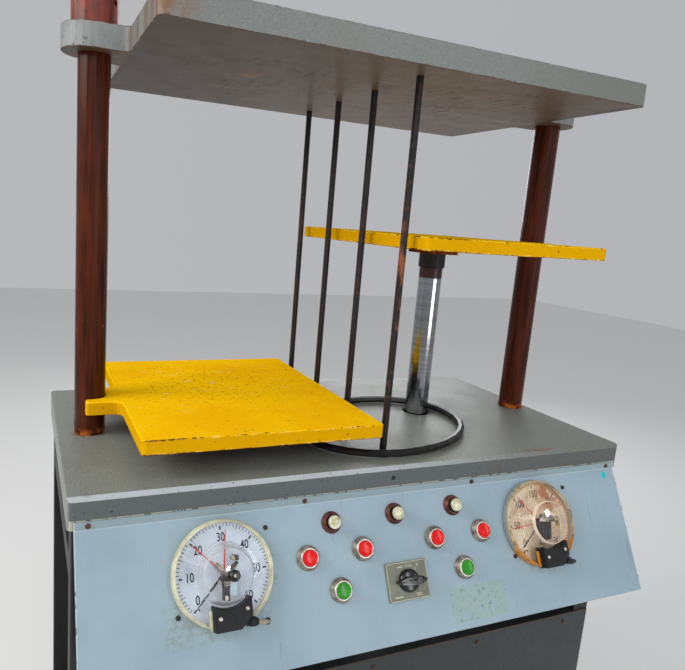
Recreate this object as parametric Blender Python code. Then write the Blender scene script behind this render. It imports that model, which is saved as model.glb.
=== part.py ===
# Twin station hydraulic press with a front control panel.
# Sizes are in millimetres and are turned into metres when a mesh is made.
# X runs to the right, Y to the back, Z up. The origin is on the floor under the middle.
import math

import bmesh
import bpy
from mathutils import Matrix, Vector

# Table and the press above it
TABLE_W = 1090.0
TABLE_D = 570.0
TABLE_T = 50.0
TABLE_TOP_Z = 850.0
TABLE_CORNER_R = 9.0
TABLE_CHAMFER = 1.2
TABLE_FRONT_BEVEL = 6.5
APRON_HOLE_D = 9.0
APRON_HOLE_X = -2.0
APRON_HOLE_DOWN = 21.0
APRON_HOLE_DEEP = 14.0
PRESS_X = 8.4
BAY_H = 661.0
SEAT_GAP = 0.3

COLUMN_EDGE = 48.0
COLUMN_OFFSET = TABLE_W / 2 - COLUMN_EDGE
COLUMN_D = 54.6
COLUMN_FOOT_D = 38.0
COLUMN_HEAD_D = 42.0
SPIGOT_CLEAR = 0.6

HEAD_COLUMN_GAP = 49.5
HEAD_W = 2 * (COLUMN_OFFSET - HEAD_COLUMN_GAP)
HEAD_D = 583.0
HEAD_T = 40.0
HEAD_CORNER_R = 10.0
HEAD_CHAMFER = 2.0
EAR_R = 54.0
EAR_ROOT_R = 12.0

TOP_NUT_D = 77.0
TOP_NUT_H = 62.0
FOOT_NUT_D = 68.0
FOOT_NUT_H = 38.0
NUT_CHAMFER = 3.0
TOMMY_HOLE_D = 11.0
SPIGOT_OUT = 6.0

ROD_D = 12.6
ROD_PITCH = 150.0
ROD_COUNT = 4
ROD_SOCKET = 22.0
ROD_CLEAR = 0.8

# Moving platens
PLATEN_GAP = 46.0
PLATEN_COLUMN_GAP = 51.4
PLATEN_W = COLUMN_OFFSET - PLATEN_GAP / 2 - PLATEN_COLUMN_GAP
PLATEN_D = 521.0
PLATEN_T = 24.0
PLATEN_CORNER_R = 8.0
PLATEN_CHAMFER = 1.4
PLATEN_REST = 46.0
RIGHT_LIFT = 330.0
STROKE = 500.0
FORK_HALF = 50.0
FORK_TIP = 11.0
FORK_ROOT_R = 16.0
FORK_TIP_R = 6.0
FORK_CLEAR = 1.2
PAD_W = 78.0
PAD_T = 14.0
RAM_IN = 12.5
RAM_OFFSET = (PLATEN_GAP + PLATEN_W) / 2 - RAM_IN
RAM_D = 50.0
RAM_GUIDED = 90.0
COLLAR_D = 57.0
COLLAR_H = 31.0
RAM_HOLE_D = 61.0

# Cylinders under the table
CYL_D = 86.0
CYL_BORE = 60.0
CYL_BASE_T = 30.0
CYL_FLANGE_D = 128.0
CYL_FLANGE_T = 22.0
GLAND_H = 46.0
GLAND_CLEAR = 0.4
CYL_END_ROOM = 12.0
PORT_UP = 8.0

# Loose ring left on the table
RING_A = 206.0
RING_B = 152.0
RING_TURN = math.radians(26.0)
RING_RAM_GAP = 133.8
RING_X = RAM_OFFSET - RING_RAM_GAP
RING_Y = -81.0
RING_BAR = 15.0

# Cabinet
FRAME_TUBE = 40.0
FRAME_INSET = 6.0
NUT_ROOM = 14.0
FOOT_D = 46.0
FLOOR_RAIL_Z = 60.0
SKIN_T = 2.0
TRAY_T = 4.0
LOUVRE_N = 7
LOUVRE_W = 150.0
LOUVRE_H = 9.0
LOUVRE_PITCH = 24.0
LOWER_TOP = 468.0
LOWER_LIP = 16.0
LOWER_T = 2.5

# Slanted control panel
PANEL_END_IN = 11.5
PANEL_W = TABLE_W - 2 * PANEL_END_IN
PANEL_X = -2.3
PANEL_DROP = 37.0
PANEL_T = 3.0
PANEL_FLANGE = 12.0
PANEL_SLANT = 239.0
PANEL_TILT = math.radians(27.5)
PANEL_RETURN = 26.0
PANEL_CHEEK_IN = 9.0

# Pressure gauges
GAUGE_X = (-321.5, 303.0)
GAUGE_S = (86.5, 84.5)
GAUGE_R = 80.0
GAUGE_RIM_H = 16.0
GAUGE_RIM_W = 6.5
GAUGE_BODY_R = 75.0
GAUGE_BODY_H = 42.0
GAUGE_HOLE_CLEAR = 1.0
DIAL_H = 5.0
DIAL_PIN_R = 2.2
HAND_T = 0.9
HAND_STEP = 1.5
POINTER_L = 63.0
LIMIT_L = 67.0
WINDOW_T = 2.2
WINDOW_Z = 12.6
WINDOW_CLEAR = 0.8
DOME_R = 46.0
DOME_TOP_R = 37.5
DOME_H = 26.0
KNOB_R = 8.5
KNOB_H = 8.0
BOX_LEFT = -25.0
BOX_RIGHT = 33.0
BOX_LOW = -78.5
BOX_CORNER = (14.0, -61.0)
BOX_ARC = 48.0
BOX_Z0 = 11.0
BOX_Z1 = 33.0
GLAND_R = 7.5
GLAND_L = 20.0
GLAND_TURN = math.radians(-12.0)
CABLE_D = 6.5
CABLE_END = (65.0, 79.0)
SCALE_HALF = math.radians(135.0)
POINTER_START = (0.0, 0.02)
LIMIT_START = ((0.333, 0.525), (0.155, 0.355))

# Lamps, buttons and the selector
LAMP_X = (-128.5, -6.0, 116.5)
LAMP_S = (34.0, 33.0, 32.0)
LAMP_R = 18.0
LAMP_H = 9.0
LENS_R = 11.5
LENS_H = 19.0
BUTTON_X = (-178.0, -76.5, 68.0, 169.0, -126.0, 120.0)
BUTTON_S = (84.0, 82.5, 82.5, 82.5, 141.0, 139.5)
BUTTON_R = 20.0
BUTTON_H = 9.5
CAP_R = 12.6
CAP_OUT = 13.0
CAP_T = 4.6
CAP_TRAVEL = 4.0
CAP_CLEAR = 0.4
STEM_R = 6.0
BARREL_R = 10.5
BARREL_L = 32.0
PLATE_X = -0.5
PLATE_S = 144.0
PLATE_W = 80.0
PLATE_H = 62.0
PLATE_T = 5.0
PLATE_R = 3.0
KNOB_BASE_R = 19.0
KNOB_BASE_H = 8.0
HANDLE_L = 54.0
HANDLE_W = 13.0
HANDLE_H = 22.0
SPINDLE_R = 4.0
SWITCH_DEPTH = 48.0

# Power unit inside the cabinet
TANK_CYL_GAP = 16.8
TANK_LID_OVER = 12.0
TANK_W = 2 * (RAM_OFFSET - CYL_D / 2 - TANK_LID_OVER - TANK_CYL_GAP)
TANK_D = 330.0
TANK_H = 300.0
TANK_LID_T = 8.0
MOTOR_R = 82.0
MOTOR_H = 230.0
MOTOR_FINS = 12
FIN_H = 7.0
BELL_R = 70.0
BELL_H = 60.0
MOTOR_Y = 30.0
BLOCK_W = 120.0
BLOCK_D = 70.0
BLOCK_H = 90.0
BLOCK_Y = -115.0
PIPE_D = 14.0
PIPE_BOSS_R = 13.0
PIPE_BOSS_L = 12.0

TABLE_X0 = -TABLE_W / 2
TABLE_Y0 = -TABLE_D / 2
TABLE_LOW = TABLE_TOP_Z - TABLE_T
HEAD_LOW = TABLE_TOP_Z + BAY_H
HEAD_TOP = HEAD_LOW + HEAD_T
COLUMN_X = (PRESS_X - COLUMN_OFFSET, PRESS_X + COLUMN_OFFSET)
RAM_X = (PRESS_X - RAM_OFFSET, PRESS_X + RAM_OFFSET)
ROD_Y = [(i - (ROD_COUNT - 1) / 2) * ROD_PITCH for i in range(ROD_COUNT)]
LIFT = (0.0, RIGHT_LIFT)
SIDES = ("left", "right")


# Points of the slanted panel: s runs down the slope from its bend, h stands off its face
PANEL_Y = TABLE_Y0 - SEAT_GAP - PANEL_T
BEND_Z = TABLE_TOP_Z - PANEL_DROP - PANEL_FLANGE
DOWN = Vector((0, -math.sin(PANEL_TILT), -math.cos(PANEL_TILT)))
OUT = Vector((0, -math.cos(PANEL_TILT), math.sin(PANEL_TILT)))
BEND = Vector((0, PANEL_Y, BEND_Z))

# The origin is under the middle of the whole press, ears and panel included
LOW_X = min(TABLE_X0, COLUMN_X[0] - EAR_R)
HIGH_X = max(-TABLE_X0, COLUMN_X[1] + EAR_R)
LOW_Y = PANEL_Y + DOWN.y * PANEL_SLANT
HIGH_Y = max(HEAD_D, TABLE_D) / 2
ORIGIN = Vector(((LOW_X + HIGH_X) / 2, (LOW_Y + HIGH_Y) / 2, 0))


# Mesh helpers
def add(name, bm, place=None):
    for v in bm.verts:
        v.co *= 0.001
    bmesh.ops.recalc_face_normals(bm, faces=bm.faces)
    mesh = bpy.data.meshes.new(name)
    bm.to_mesh(mesh)
    bm.free()
    ob = bpy.data.objects.new(name, mesh)
    bpy.context.scene.collection.objects.link(ob)
    m = place.copy() if place is not None else Matrix.Identity(4)
    m.translation = (m.translation - ORIGIN) * 0.001
    ob.matrix_world = m
    return ob


def at(x, y, z):
    return Matrix.Translation((x, y, z))


def rounded(corners, step=math.radians(22.5)):
    """Outline from corner points (x, y, radius), each corner turned into an arc."""
    pts = []
    n = len(corners)
    for i, (x, y, r) in enumerate(corners):
        p = Vector((x, y))
        if r <= 0:
            pts.append(p)
            continue
        a = (Vector(corners[i - 1][:2]) - p).normalized()
        b = (Vector(corners[(i + 1) % n][:2]) - p).normalized()
        half = math.acos(max(-1.0, min(1.0, a.dot(b)))) / 2
        mid = (a + b).normalized()
        c = p + mid * (r / math.sin(half))
        s = p + a * (r / math.tan(half)) - c
        e = p + b * (r / math.tan(half)) - c
        sweep = math.atan2(s.x * e.y - s.y * e.x, s.dot(e))
        k = max(1, math.ceil(abs(sweep) / step))
        start = math.atan2(s.y, s.x)
        for j in range(k + 1):
            t = start + sweep * j / k
            pts.append(c + Vector((math.cos(t), math.sin(t))) * r)
    return [q for i, q in enumerate(pts) if (q - pts[i - 1]).length > 1e-4]


def inset(pts, d):
    out = []
    n = len(pts)
    for i, p in enumerate(pts):
        a = (p - pts[i - 1]).normalized()
        b = (pts[(i + 1) % n] - p).normalized()
        na, nb = Vector((-a.y, a.x)), Vector((-b.y, b.x))
        m = na + nb
        out.append(p + m * (d / max(0.2, 1 + na.dot(nb))))
    return out


def loft(loops):
    """Closed solid through loops of equal length, capped at both ends."""
    bm = bmesh.new()
    rows = [[bm.verts.new(v) for v in loop] for loop in loops]
    n = len(rows[0])
    for a, b in zip(rows, rows[1:]):
        for i in range(n):
            bm.faces.new((a[i], a[(i + 1) % n], b[(i + 1) % n], b[i]))
    bm.faces.new(list(reversed(rows[0])))
    bm.faces.new(rows[-1])
    return bm


def plate(pts, z0, z1, top=0.0, low=0.0):
    """Plate from an anticlockwise outline, with a small chamfer at either face."""
    loops = []
    if low:
        loops.append([(p.x, p.y, z0) for p in inset(pts, low)])
        loops.append([(p.x, p.y, z0 + low) for p in pts])
    else:
        loops.append([(p.x, p.y, z0) for p in pts])
    if top:
        loops.append([(p.x, p.y, z1 - top) for p in pts])
        loops.append([(p.x, p.y, z1) for p in inset(pts, top)])
    else:
        loops.append([(p.x, p.y, z1) for p in pts])
    return loft(loops)


def block(x0, x1, y0, y1, z0, z1, r=0.0, top=0.0):
    return plate(rounded([(x0, y0, r), (x1, y0, r), (x1, y1, r), (x0, y1, r)]), z0, z1, top)


def turned(profile, segs=24):
    """Turned solid about Z from a closed profile (r, z). Points on the axis have r 0."""
    bm = bmesh.new()
    rings = []
    for r, z in profile:
        if r < 1e-6:
            rings.append([bm.verts.new((0, 0, z))])
        else:
            ring = []
            for i in range(segs):
                t = 2 * math.pi * i / segs
                ring.append(bm.verts.new((r * math.cos(t), r * math.sin(t), z)))
            rings.append(ring)
    n = len(rings)
    for k in range(n):
        a, b = rings[k], rings[(k + 1) % n]
        if len(a) == 1 and len(b) == 1:
            continue
        for i in range(segs):
            j = (i + 1) % segs
            if len(a) == 1:
                bm.faces.new((a[0], b[j], b[i]))
            elif len(b) == 1:
                bm.faces.new((a[i], a[j], b[0]))
            else:
                bm.faces.new((a[i], a[j], b[j], b[i]))
    return bm


def join(bm, other, m=None):
    """Copies another mesh into this one, for cutters that act together."""
    tmp = bpy.data.meshes.new("tmp")
    other.to_mesh(tmp)
    other.free()
    if m is not None:
        tmp.transform(m)
    bm.from_mesh(tmp)
    bpy.data.meshes.remove(tmp)
    return bm


def rod(r, z0, z1, segs=24):
    return turned([(0, z0), (r, z0), (r, z1), (0, z1)], segs)


def boolean(ob, name, bm, op="DIFFERENCE", place=None):
    """Adds an exact boolean with its own cutter, placed like the piece unless told otherwise."""
    cutter = add(name, bm, place)
    if place is None:
        cutter.matrix_world = ob.matrix_world.copy()
    cutter.hide_render = True
    cutter.display_type = "WIRE"
    mod = ob.modifiers.new(name, "BOOLEAN")
    mod.operation = op
    mod.solver = "EXACT"
    mod.object = cutter
    return cutter


def smooth(ob, angle=35.0):
    ob.data.shade_smooth()
    ob.data.set_sharp_from_angle(angle=math.radians(angle))
    return ob


def empty(name, x, y, z):
    e = bpy.data.objects.new(name, None)
    bpy.context.scene.collection.objects.link(e)
    e.location = (Vector((x, y, z)) - ORIGIN) * 0.001
    return e


def hang(ob, parent):
    ob.parent = parent
    ob.matrix_parent_inverse = parent.matrix_world.inverted()
    return ob


def on_panel(x, s, h=0.0):
    p = BEND + DOWN * s + OUT * h
    m = Matrix.Rotation(math.pi / 2 - PANEL_TILT, 4, "X")
    m.translation = Vector((x, p.y, p.z))
    return m


def build_table():
    out = rounded([(TABLE_X0, TABLE_Y0, TABLE_CORNER_R), (-TABLE_X0, TABLE_Y0, TABLE_CORNER_R),
                   (-TABLE_X0, -TABLE_Y0, TABLE_CORNER_R), (TABLE_X0, -TABLE_Y0, TABLE_CORNER_R)])
    top = add("table_top", plate(out, TABLE_LOW, TABLE_TOP_Z, TABLE_CHAMFER))
    cut = bmesh.new()
    for x in COLUMN_X:
        join(cut, rod((COLUMN_FOOT_D + SPIGOT_CLEAR) / 2, TABLE_LOW - 5, TABLE_TOP_Z + 5), at(x, 0, 0))
    for x in RAM_X:
        join(cut, rod(RAM_HOLE_D / 2, TABLE_LOW - 5, TABLE_TOP_Z + 5), at(x, 0, 0))
    for y in ROD_Y:
        z0 = TABLE_TOP_Z - ROD_SOCKET
        join(cut, rod((ROD_D + ROD_CLEAR) / 2, z0, TABLE_TOP_Z + 5, 12), at(PRESS_X, y, 0))
    boolean(top, "cut_table", cut)
    # Wide bevel along the front top edge, and a blind screw hole under it
    b, e = TABLE_FRONT_BEVEL, 3.0
    wedge = [(TABLE_Y0 - e, TABLE_TOP_Z - b - e), (TABLE_Y0 + b + e, TABLE_TOP_Z + e),
             (TABLE_Y0 - e, TABLE_TOP_Z + e)]
    front = loft([[(x, y, z) for y, z in wedge] for x in (TABLE_X0 - e, -TABLE_X0 + e)])
    hole = rod(APRON_HOLE_D / 2, -e, APRON_HOLE_DEEP, 10)
    hole.transform(at(APRON_HOLE_X, TABLE_Y0, TABLE_TOP_Z - APRON_HOLE_DOWN) @ Matrix.Rotation(-math.pi / 2, 4, "X"))
    boolean(top, "cut_front", join(front, hole))


def build_head():
    x0, x1 = PRESS_X - HEAD_W / 2, PRESS_X + HEAD_W / 2
    y0, y1 = -HEAD_D / 2, HEAD_D / 2
    cl, cr = COLUMN_X
    e, r, q = EAR_R, HEAD_CORNER_R, EAR_ROOT_R
    out = rounded([
        (x0, y0, r), (x1, y0, r),
        (x1, -e, q), (cr + e, -e, e), (cr + e, e, e), (x1, e, q),
        (x1, y1, r), (x0, y1, r),
        (x0, e, q), (cl - e, e, e), (cl - e, -e, e), (x0, -e, q)], math.radians(15))
    head = add("crosshead", plate(out, HEAD_LOW, HEAD_TOP, HEAD_CHAMFER))
    cut = bmesh.new()
    for x in COLUMN_X:
        join(cut, rod((COLUMN_HEAD_D + SPIGOT_CLEAR) / 2, HEAD_LOW - 5, HEAD_TOP + 5), at(x, 0, 0))
    for y in ROD_Y:
        join(cut, rod((ROD_D + ROD_CLEAR) / 2, HEAD_LOW - 5, HEAD_LOW + ROD_SOCKET, 12), at(PRESS_X, y, 0))
    boolean(head, "cut_head", cut)
    smooth(head, 25)


def build_columns():
    low = TABLE_LOW - SEAT_GAP - FOOT_NUT_H - SPIGOT_OUT
    high = HEAD_TOP + SEAT_GAP + TOP_NUT_H + SPIGOT_OUT
    for side, x in zip(SIDES, COLUMN_X):
        r, rf, rh = COLUMN_D / 2, COLUMN_FOOT_D / 2, COLUMN_HEAD_D / 2
        z0, z1 = TABLE_TOP_Z + SEAT_GAP, HEAD_LOW - SEAT_GAP
        smooth(add("column_" + side, turned([
            (0, low), (rf, low), (rf, z0), (r, z0), (r, z1), (rh, z1), (rh, high - 3), (rh - 3, high),
            (0, high)], 24), at(x, 0, 0)))
        build_nut("column_nut_" + side, x, HEAD_TOP + SEAT_GAP, TOP_NUT_D, TOP_NUT_H, COLUMN_HEAD_D)
        z = TABLE_LOW - SEAT_GAP - FOOT_NUT_H
        foot = add("foot_nut_" + side, turned([
            (0, 0), (FOOT_NUT_D / 2 - 3, 0), (FOOT_NUT_D / 2, 3), (FOOT_NUT_D / 2, FOOT_NUT_H), (0, FOOT_NUT_H)],
            6), at(x, 0, z))
        boolean(foot, "bore_foot_" + side, rod((COLUMN_FOOT_D + SPIGOT_CLEAR) / 2, -5, FOOT_NUT_H + 5))


def build_nut(name, x, z, d, h, bore):
    """Round nut with four tommy bar holes near its top."""
    r, b, c = d / 2, (bore + SPIGOT_CLEAR) / 2, NUT_CHAMFER
    nut = smooth(add(name, turned([
        (b, 0), (r - c, 0), (r, c), (r, h - c), (r - c, h), (b, h)], 24), at(x, 0, z)))
    cut = bmesh.new()
    for k in range(4):
        m = Matrix.Rotation(math.radians(52.5 + 90 * k), 4, "Z") @ at(r - 9, 0, h * 0.62)
        join(cut, rod(TOMMY_HOLE_D / 2, 0, 20, 8), m @ Matrix.Rotation(math.pi / 2, 4, "Y"))
    boolean(nut, "cut_" + name, cut)


def build_rods():
    z0 = TABLE_TOP_Z - ROD_SOCKET + SEAT_GAP
    z1 = HEAD_LOW + ROD_SOCKET - SEAT_GAP
    r = ROD_D / 2
    for i, y in enumerate(ROD_Y):
        smooth(add("guard_rod_%d" % (i + 1), turned([
            (0, z0), (r - 1, z0), (r, z0 + 1), (r, z1 - 1), (r - 1, z1), (0, z1)], 12),
            at(PRESS_X, y, 0)))


def platen_outline(side):
    """Platen with a fork that runs on the column, drawn for the left and turned for the right."""
    x1 = -PLATEN_GAP / 2
    x0 = x1 - PLATEN_W
    cx = -COLUMN_OFFSET
    tip = cx - FORK_TIP
    n = COLUMN_D / 2 + FORK_CLEAR
    h, w, r = PLATEN_D / 2, FORK_HALF, PLATEN_CORNER_R
    pts = rounded([(x0, -h, r), (x1, -h, r), (x1, h, r), (x0, h, r),
                   (x0, w, FORK_ROOT_R), (tip, w, FORK_TIP_R), (tip, n, FORK_TIP_R),
                   (cx + n, n, n), (cx + n, -n, n), (tip, -n, FORK_TIP_R),
                   (tip, -w, FORK_TIP_R), (x0, -w, FORK_ROOT_R)])
    sign = 1 if side == "left" else -1
    return [Vector((PRESS_X + sign * p.x, sign * p.y)) for p in pts]


def build_platens():
    for side, x, lift in zip(SIDES, RAM_X, LIFT):
        z = TABLE_TOP_Z + PLATEN_REST + lift
        body = empty("axis_" + side, x, 0, z)
        bpy.context.view_layer.update()
        pts = [Vector((p.x - x, p.y)) for p in platen_outline(side)]
        platen = smooth(add("platen_" + side, plate(pts, 0, PLATEN_T, PLATEN_CHAMFER),
                            at(x, 0, z)), 25)
        hang(platen, body)
        h = PAD_W / 2
        pad = block(-h, h, -h, h, -PAD_T, 5, 3)
        union = boolean(platen, "pad_" + side, pad, "UNION")
        hang(union, body)
        seat = -PAD_T - SEAT_GAP
        r, c = RAM_D / 2, COLLAR_D / 2
        collar = smooth(add("ram_collar_" + side, turned([
            (r + SEAT_GAP, seat - COLLAR_H), (c - 2, seat - COLLAR_H), (c, seat - COLLAR_H + 2),
            (c, seat), (r + SEAT_GAP, seat)], 24), at(x, 0, z)))
        hang(collar, body)
        low = -(PLATEN_REST + TABLE_T + STROKE + RAM_GUIDED)
        ram = smooth(add("ram_" + side, turned([
            (0, low), (r - 3, low), (r, low + 3), (r, seat), (0, seat)], 24), at(x, 0, z)))
        hang(ram, body)


def ram_low():
    """Lowest end of a ram when its platen is down."""
    return TABLE_TOP_Z - (TABLE_T + STROKE + RAM_GUIDED)


def port_z():
    return ram_low() - CYL_END_ROOM - CYL_BASE_T / 2 + PORT_UP


def build_cylinders():
    top = TABLE_LOW - SEAT_GAP
    inner = ram_low() - CYL_END_ROOM
    low = inner - CYL_BASE_T
    r, b, g = CYL_D / 2, CYL_BORE / 2, RAM_D / 2 + GLAND_CLEAR
    f = CYL_FLANGE_D / 2
    for side, x in zip(SIDES, RAM_X):
        cyl = smooth(add("cylinder_" + side, turned([
            (0, low), (r - 4, low), (r, low + 4), (r, top - CYL_FLANGE_T), (f, top - CYL_FLANGE_T),
            (f, top), (g + 3, top), (g, top - 3), (g, top - GLAND_H), (b, top - GLAND_H - 4),
            (b, inner), (0, inner)], 24), at(x, 0, 0)))
        m = at(0, 0, port_z()) @ Matrix.Rotation(math.pi / 2, 4, "X")
        boss = rod(PIPE_BOSS_R, r - 6, r + PIPE_BOSS_L, 12)
        boss.transform(m)
        boolean(cyl, "port_" + side, boss, "UNION")


def build_ring():
    segs, sides = 32, 7
    bm = bmesh.new()
    rows = []
    for i in range(segs):
        t = 2 * math.pi * i / segs
        c = Vector((RING_A * math.cos(t), RING_B * math.sin(t), 0))
        n = Vector((RING_B * math.cos(t), RING_A * math.sin(t), 0)).normalized()
        row = []
        for j in range(sides):
            a = 2 * math.pi * (j + 0.5) / sides
            p = c + (n * math.cos(a) + Vector((0, 0, 1)) * math.sin(a)) * (RING_BAR / 2)
            row.append(bm.verts.new(p))
        rows.append(row)
    for i in range(segs):
        a, b = rows[i], rows[(i + 1) % segs]
        for j in range(sides):
            k = (j + 1) % sides
            bm.faces.new((a[j], b[j], b[k], a[k]))
    flat = RING_BAR / 2
    m = at(RING_X, RING_Y, TABLE_TOP_Z + SEAT_GAP + flat) @ Matrix.Rotation(RING_TURN, 4, "Z")
    smooth(add("loose_ring", bm, m), 60)


FRAME_X = TABLE_W / 2 - FRAME_INSET
FRAME_Y = TABLE_D / 2 - FRAME_INSET
FRAME_TOP = TABLE_LOW - SEAT_GAP
SIDE_RAIL_Z = FRAME_TOP - FOOT_NUT_H - SPIGOT_OUT - NUT_ROOM - FRAME_TUBE
FRONT_RAIL_Z = LOWER_TOP - FRAME_TUBE - 3
TRAY_TOP = FLOOR_RAIL_Z + FRAME_TUBE + TRAY_T


def build_frame():
    """Welded tube frame: four posts, top and bottom rails, a tray and four feet in one."""
    t, z0 = FRAME_TUBE, FLOOR_RAIL_Z
    frame = add("cabinet_frame", block(-FRAME_X, FRAME_X, -FRAME_Y, FRAME_Y, z0, FRAME_TOP, 3))
    cut = bmesh.new()
    over = 20
    join(cut, block(-FRAME_X + t, FRAME_X - t, -FRAME_Y + t, FRAME_Y - t, TRAY_TOP, FRAME_TOP + over))
    join(cut, block(-FRAME_X + t, FRAME_X - t, -FRAME_Y + t, FRAME_Y - t, z0 - over, z0 + t))
    boolean(frame, "cut_frame_inside", cut)
    front = bmesh.new()
    join(front, block(-FRAME_X + t, FRAME_X - t, 0, FRAME_Y + over, z0 + t, FRAME_TOP - t))
    for a, b in ((z0 + t, FRONT_RAIL_Z), (FRONT_RAIL_Z + t, FRAME_TOP + over)):
        join(front, block(-FRAME_X + t, FRAME_X - t, -FRAME_Y - over, -10, a, b))
    boolean(frame, "cut_frame_front", front)
    sides = bmesh.new()
    for a, b in ((z0 + t, SIDE_RAIL_Z), (SIDE_RAIL_Z + t, FRAME_TOP + over)):
        join(sides, block(-FRAME_X - over, FRAME_X + over, -FRAME_Y + t, FRAME_Y - t, a, b))
    boolean(frame, "cut_frame_side", sides)
    floor = block(-FRAME_X + t - 2, FRAME_X - t + 2, -FRAME_Y + t - 2, FRAME_Y - t + 2,
                  z0 + t - 2, TRAY_TOP)
    boolean(frame, "add_tray", floor, "UNION")
    feet = bmesh.new()
    r = FOOT_D / 2
    for sx in (-1, 1):
        for sy in (-1, 1):
            join(feet, turned([(0, 0), (r, 0), (r, 6), (r * 0.55, 14), (8, 16), (8, z0 + 2), (0, z0 + 2)], 10),
                 at(sx * (FRAME_X - t / 2), sy * (FRAME_Y - t / 2), 0))
    boolean(frame, "add_feet", feet, "UNION")


def build_skin():
    """Sides and back in one folded sheet let into the frame, with louvres at the back."""
    g = SEAT_GAP
    x0 = FRAME_X - FRAME_TUBE - g
    y1 = FRAME_Y - FRAME_TUBE - g
    z0, z1 = TRAY_TOP + g, SIDE_RAIL_Z - g
    t = SKIN_T
    pts = [Vector(p) for p in (
        (-x0, -y1), (-x0 + t, -y1), (-x0 + t, y1 - t), (x0 - t, y1 - t), (x0 - t, -y1), (x0, -y1),
        (x0, y1), (-x0, y1))]
    skin = add("cabinet_skin", plate(pts, z0, z1))
    cut = bmesh.new()
    top = z1 - 70
    for k in range(LOUVRE_N):
        z = top - k * LOUVRE_PITCH
        for x in (-x0 * 0.55, x0 * 0.55):
            join(cut, block(x - LOUVRE_W / 2, x + LOUVRE_W / 2, y1 - t - 5, y1 + 5, z, z + LOUVRE_H))
    boolean(skin, "cut_skin", cut)


def build_lower_front():
    """Removable front sheet with a lip along its top."""
    g, t = SEAT_GAP, LOWER_T
    x0 = FRAME_X - 4
    y = -FRAME_Y - g
    z0, z1 = FLOOR_RAIL_Z + 6, LOWER_TOP
    prof = [(y, z0), (y, z1), (y + LOWER_LIP, z1), (y + LOWER_LIP, z1 + t), (y - t, z1 + t), (y - t, z0)]
    x1 = FRAME_X - FRAME_TUBE - 0.5
    bm = loft([[(x, a, b) for a, b in prof] for x in (-x1, x1)])
    panel = add("lower_front_panel", bm)
    wings = bmesh.new()
    for sx in (-1, 1):
        a, b = sorted((sx * (x1 - 3), sx * x0))
        join(wings, block(a, b, y - t, y, z0, z1 + t))
    boolean(panel, "add_wings", wings, "UNION")


def panel_profile(t_in):
    """Side view of the folded panel sheet, outer face first, then back along the inner face."""
    s = PANEL_SLANT
    bot = BEND + DOWN * s
    ret = Vector((0, bot.y + PANEL_RETURN, bot.z))
    top = Vector((0, PANEL_Y, BEND_Z + PANEL_FLANGE))
    half = PANEL_TILT / 2
    k = t_in * math.tan(half)
    bend_in = Vector((0, PANEL_Y + t_in, BEND_Z - k))
    run = t_in * (1 - math.sin(PANEL_TILT)) / math.cos(PANEL_TILT)
    bot_in = Vector((0, bot.y + run, bot.z + t_in))
    return [top, BEND, bot, ret, ret + Vector((0, 0, t_in)), bot_in, bend_in,
            top + Vector((0, t_in, 0))]


def build_panel():
    x0, x1 = PANEL_X - PANEL_W / 2, PANEL_X + PANEL_W / 2
    t = PANEL_T
    prof = panel_profile(t)
    panel = add("control_panel", loft([[(x, p.y, p.z) for p in prof] for x in (x0, x1)]))
    cheek = [BEND + DOWN * 2.0 + OUT * (-t / 2), BEND + DOWN * (PANEL_SLANT - 1.0) + OUT * (-t / 2)]
    bot = cheek[1]
    back_y = PANEL_Y + t + 0.6
    wing = bmesh.new()
    for sx in (-1, 1):
        xa = (x0 if sx < 0 else x1) - sx * PANEL_CHEEK_IN
        a, b = sorted((xa, xa - sx * t))
        side = [(a, cheek[0].y, cheek[0].z), (a, bot.y, bot.z), (a, back_y, bot.z),
                (a, back_y, cheek[0].z - 1)]
        join(wing, loft([side, [(b, p[1], p[2]) for p in side]]))
    boolean(panel, "add_cheeks", wing, "UNION")
    cut = bmesh.new()

    def hole(x, s, r, segs):
        join(cut, rod(r, -12, 12, segs), on_panel(x, s))

    for x, s in zip(GAUGE_X, GAUGE_S):
        hole(x, s, GAUGE_BODY_R + GAUGE_HOLE_CLEAR, 32)
        hole(x + CABLE_END[0], s + CABLE_END[1], CABLE_D / 2 + 2.2, 10)
    for x, s in zip(LAMP_X, LAMP_S):
        hole(x, s, BARREL_R + 0.6, 10)
    for x, s in zip(BUTTON_X, BUTTON_S):
        hole(x, s, BARREL_R + 0.6, 10)
    hole(PLATE_X, PLATE_S, SPINDLE_R + 1.2, 8)
    boolean(panel, "cut_panel", cut)


def build_gauges():
    for k, side in enumerate(SIDES):
        x, s = GAUGE_X[k], GAUGE_S[k]
        m = on_panel(x, s)
        r, w, h = GAUGE_R, GAUGE_RIM_W, GAUGE_RIM_H
        b, g = GAUGE_BODY_R, SEAT_GAP
        inner = r - w
        case = smooth(add("gauge_case_" + side, turned([
            (0, -GAUGE_BODY_H), (b - 4, -GAUGE_BODY_H), (b, -GAUGE_BODY_H + 4), (b, g), (r, g),
            (r, h - 3), (r - 2.4, h), (inner, h - 0.6),
            (inner, DIAL_H), (DIAL_PIN_R, DIAL_H), (DIAL_PIN_R, WINDOW_Z - 0.5), (0, WINDOW_Z - 0.5)], 32), m))
        boolean(case, "add_box_" + side, plate(box_outline(), BOX_Z0, BOX_Z1, 1.5), "UNION")
        foot = block(BOX_LEFT + 5, BOX_CORNER[0], -inner - 4, -inner + 2, g, BOX_Z0 + 4)
        boolean(case, "add_box_foot_" + side, foot, "UNION")
        gland = rod(GLAND_R, -6, GLAND_L, 10)
        gland.transform(gland_place())
        boolean(case, "add_gland_" + side, gland, "UNION")
        build_window(side, m, inner)
        build_hands(k, side, m)
        build_cable(side, m)


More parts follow.
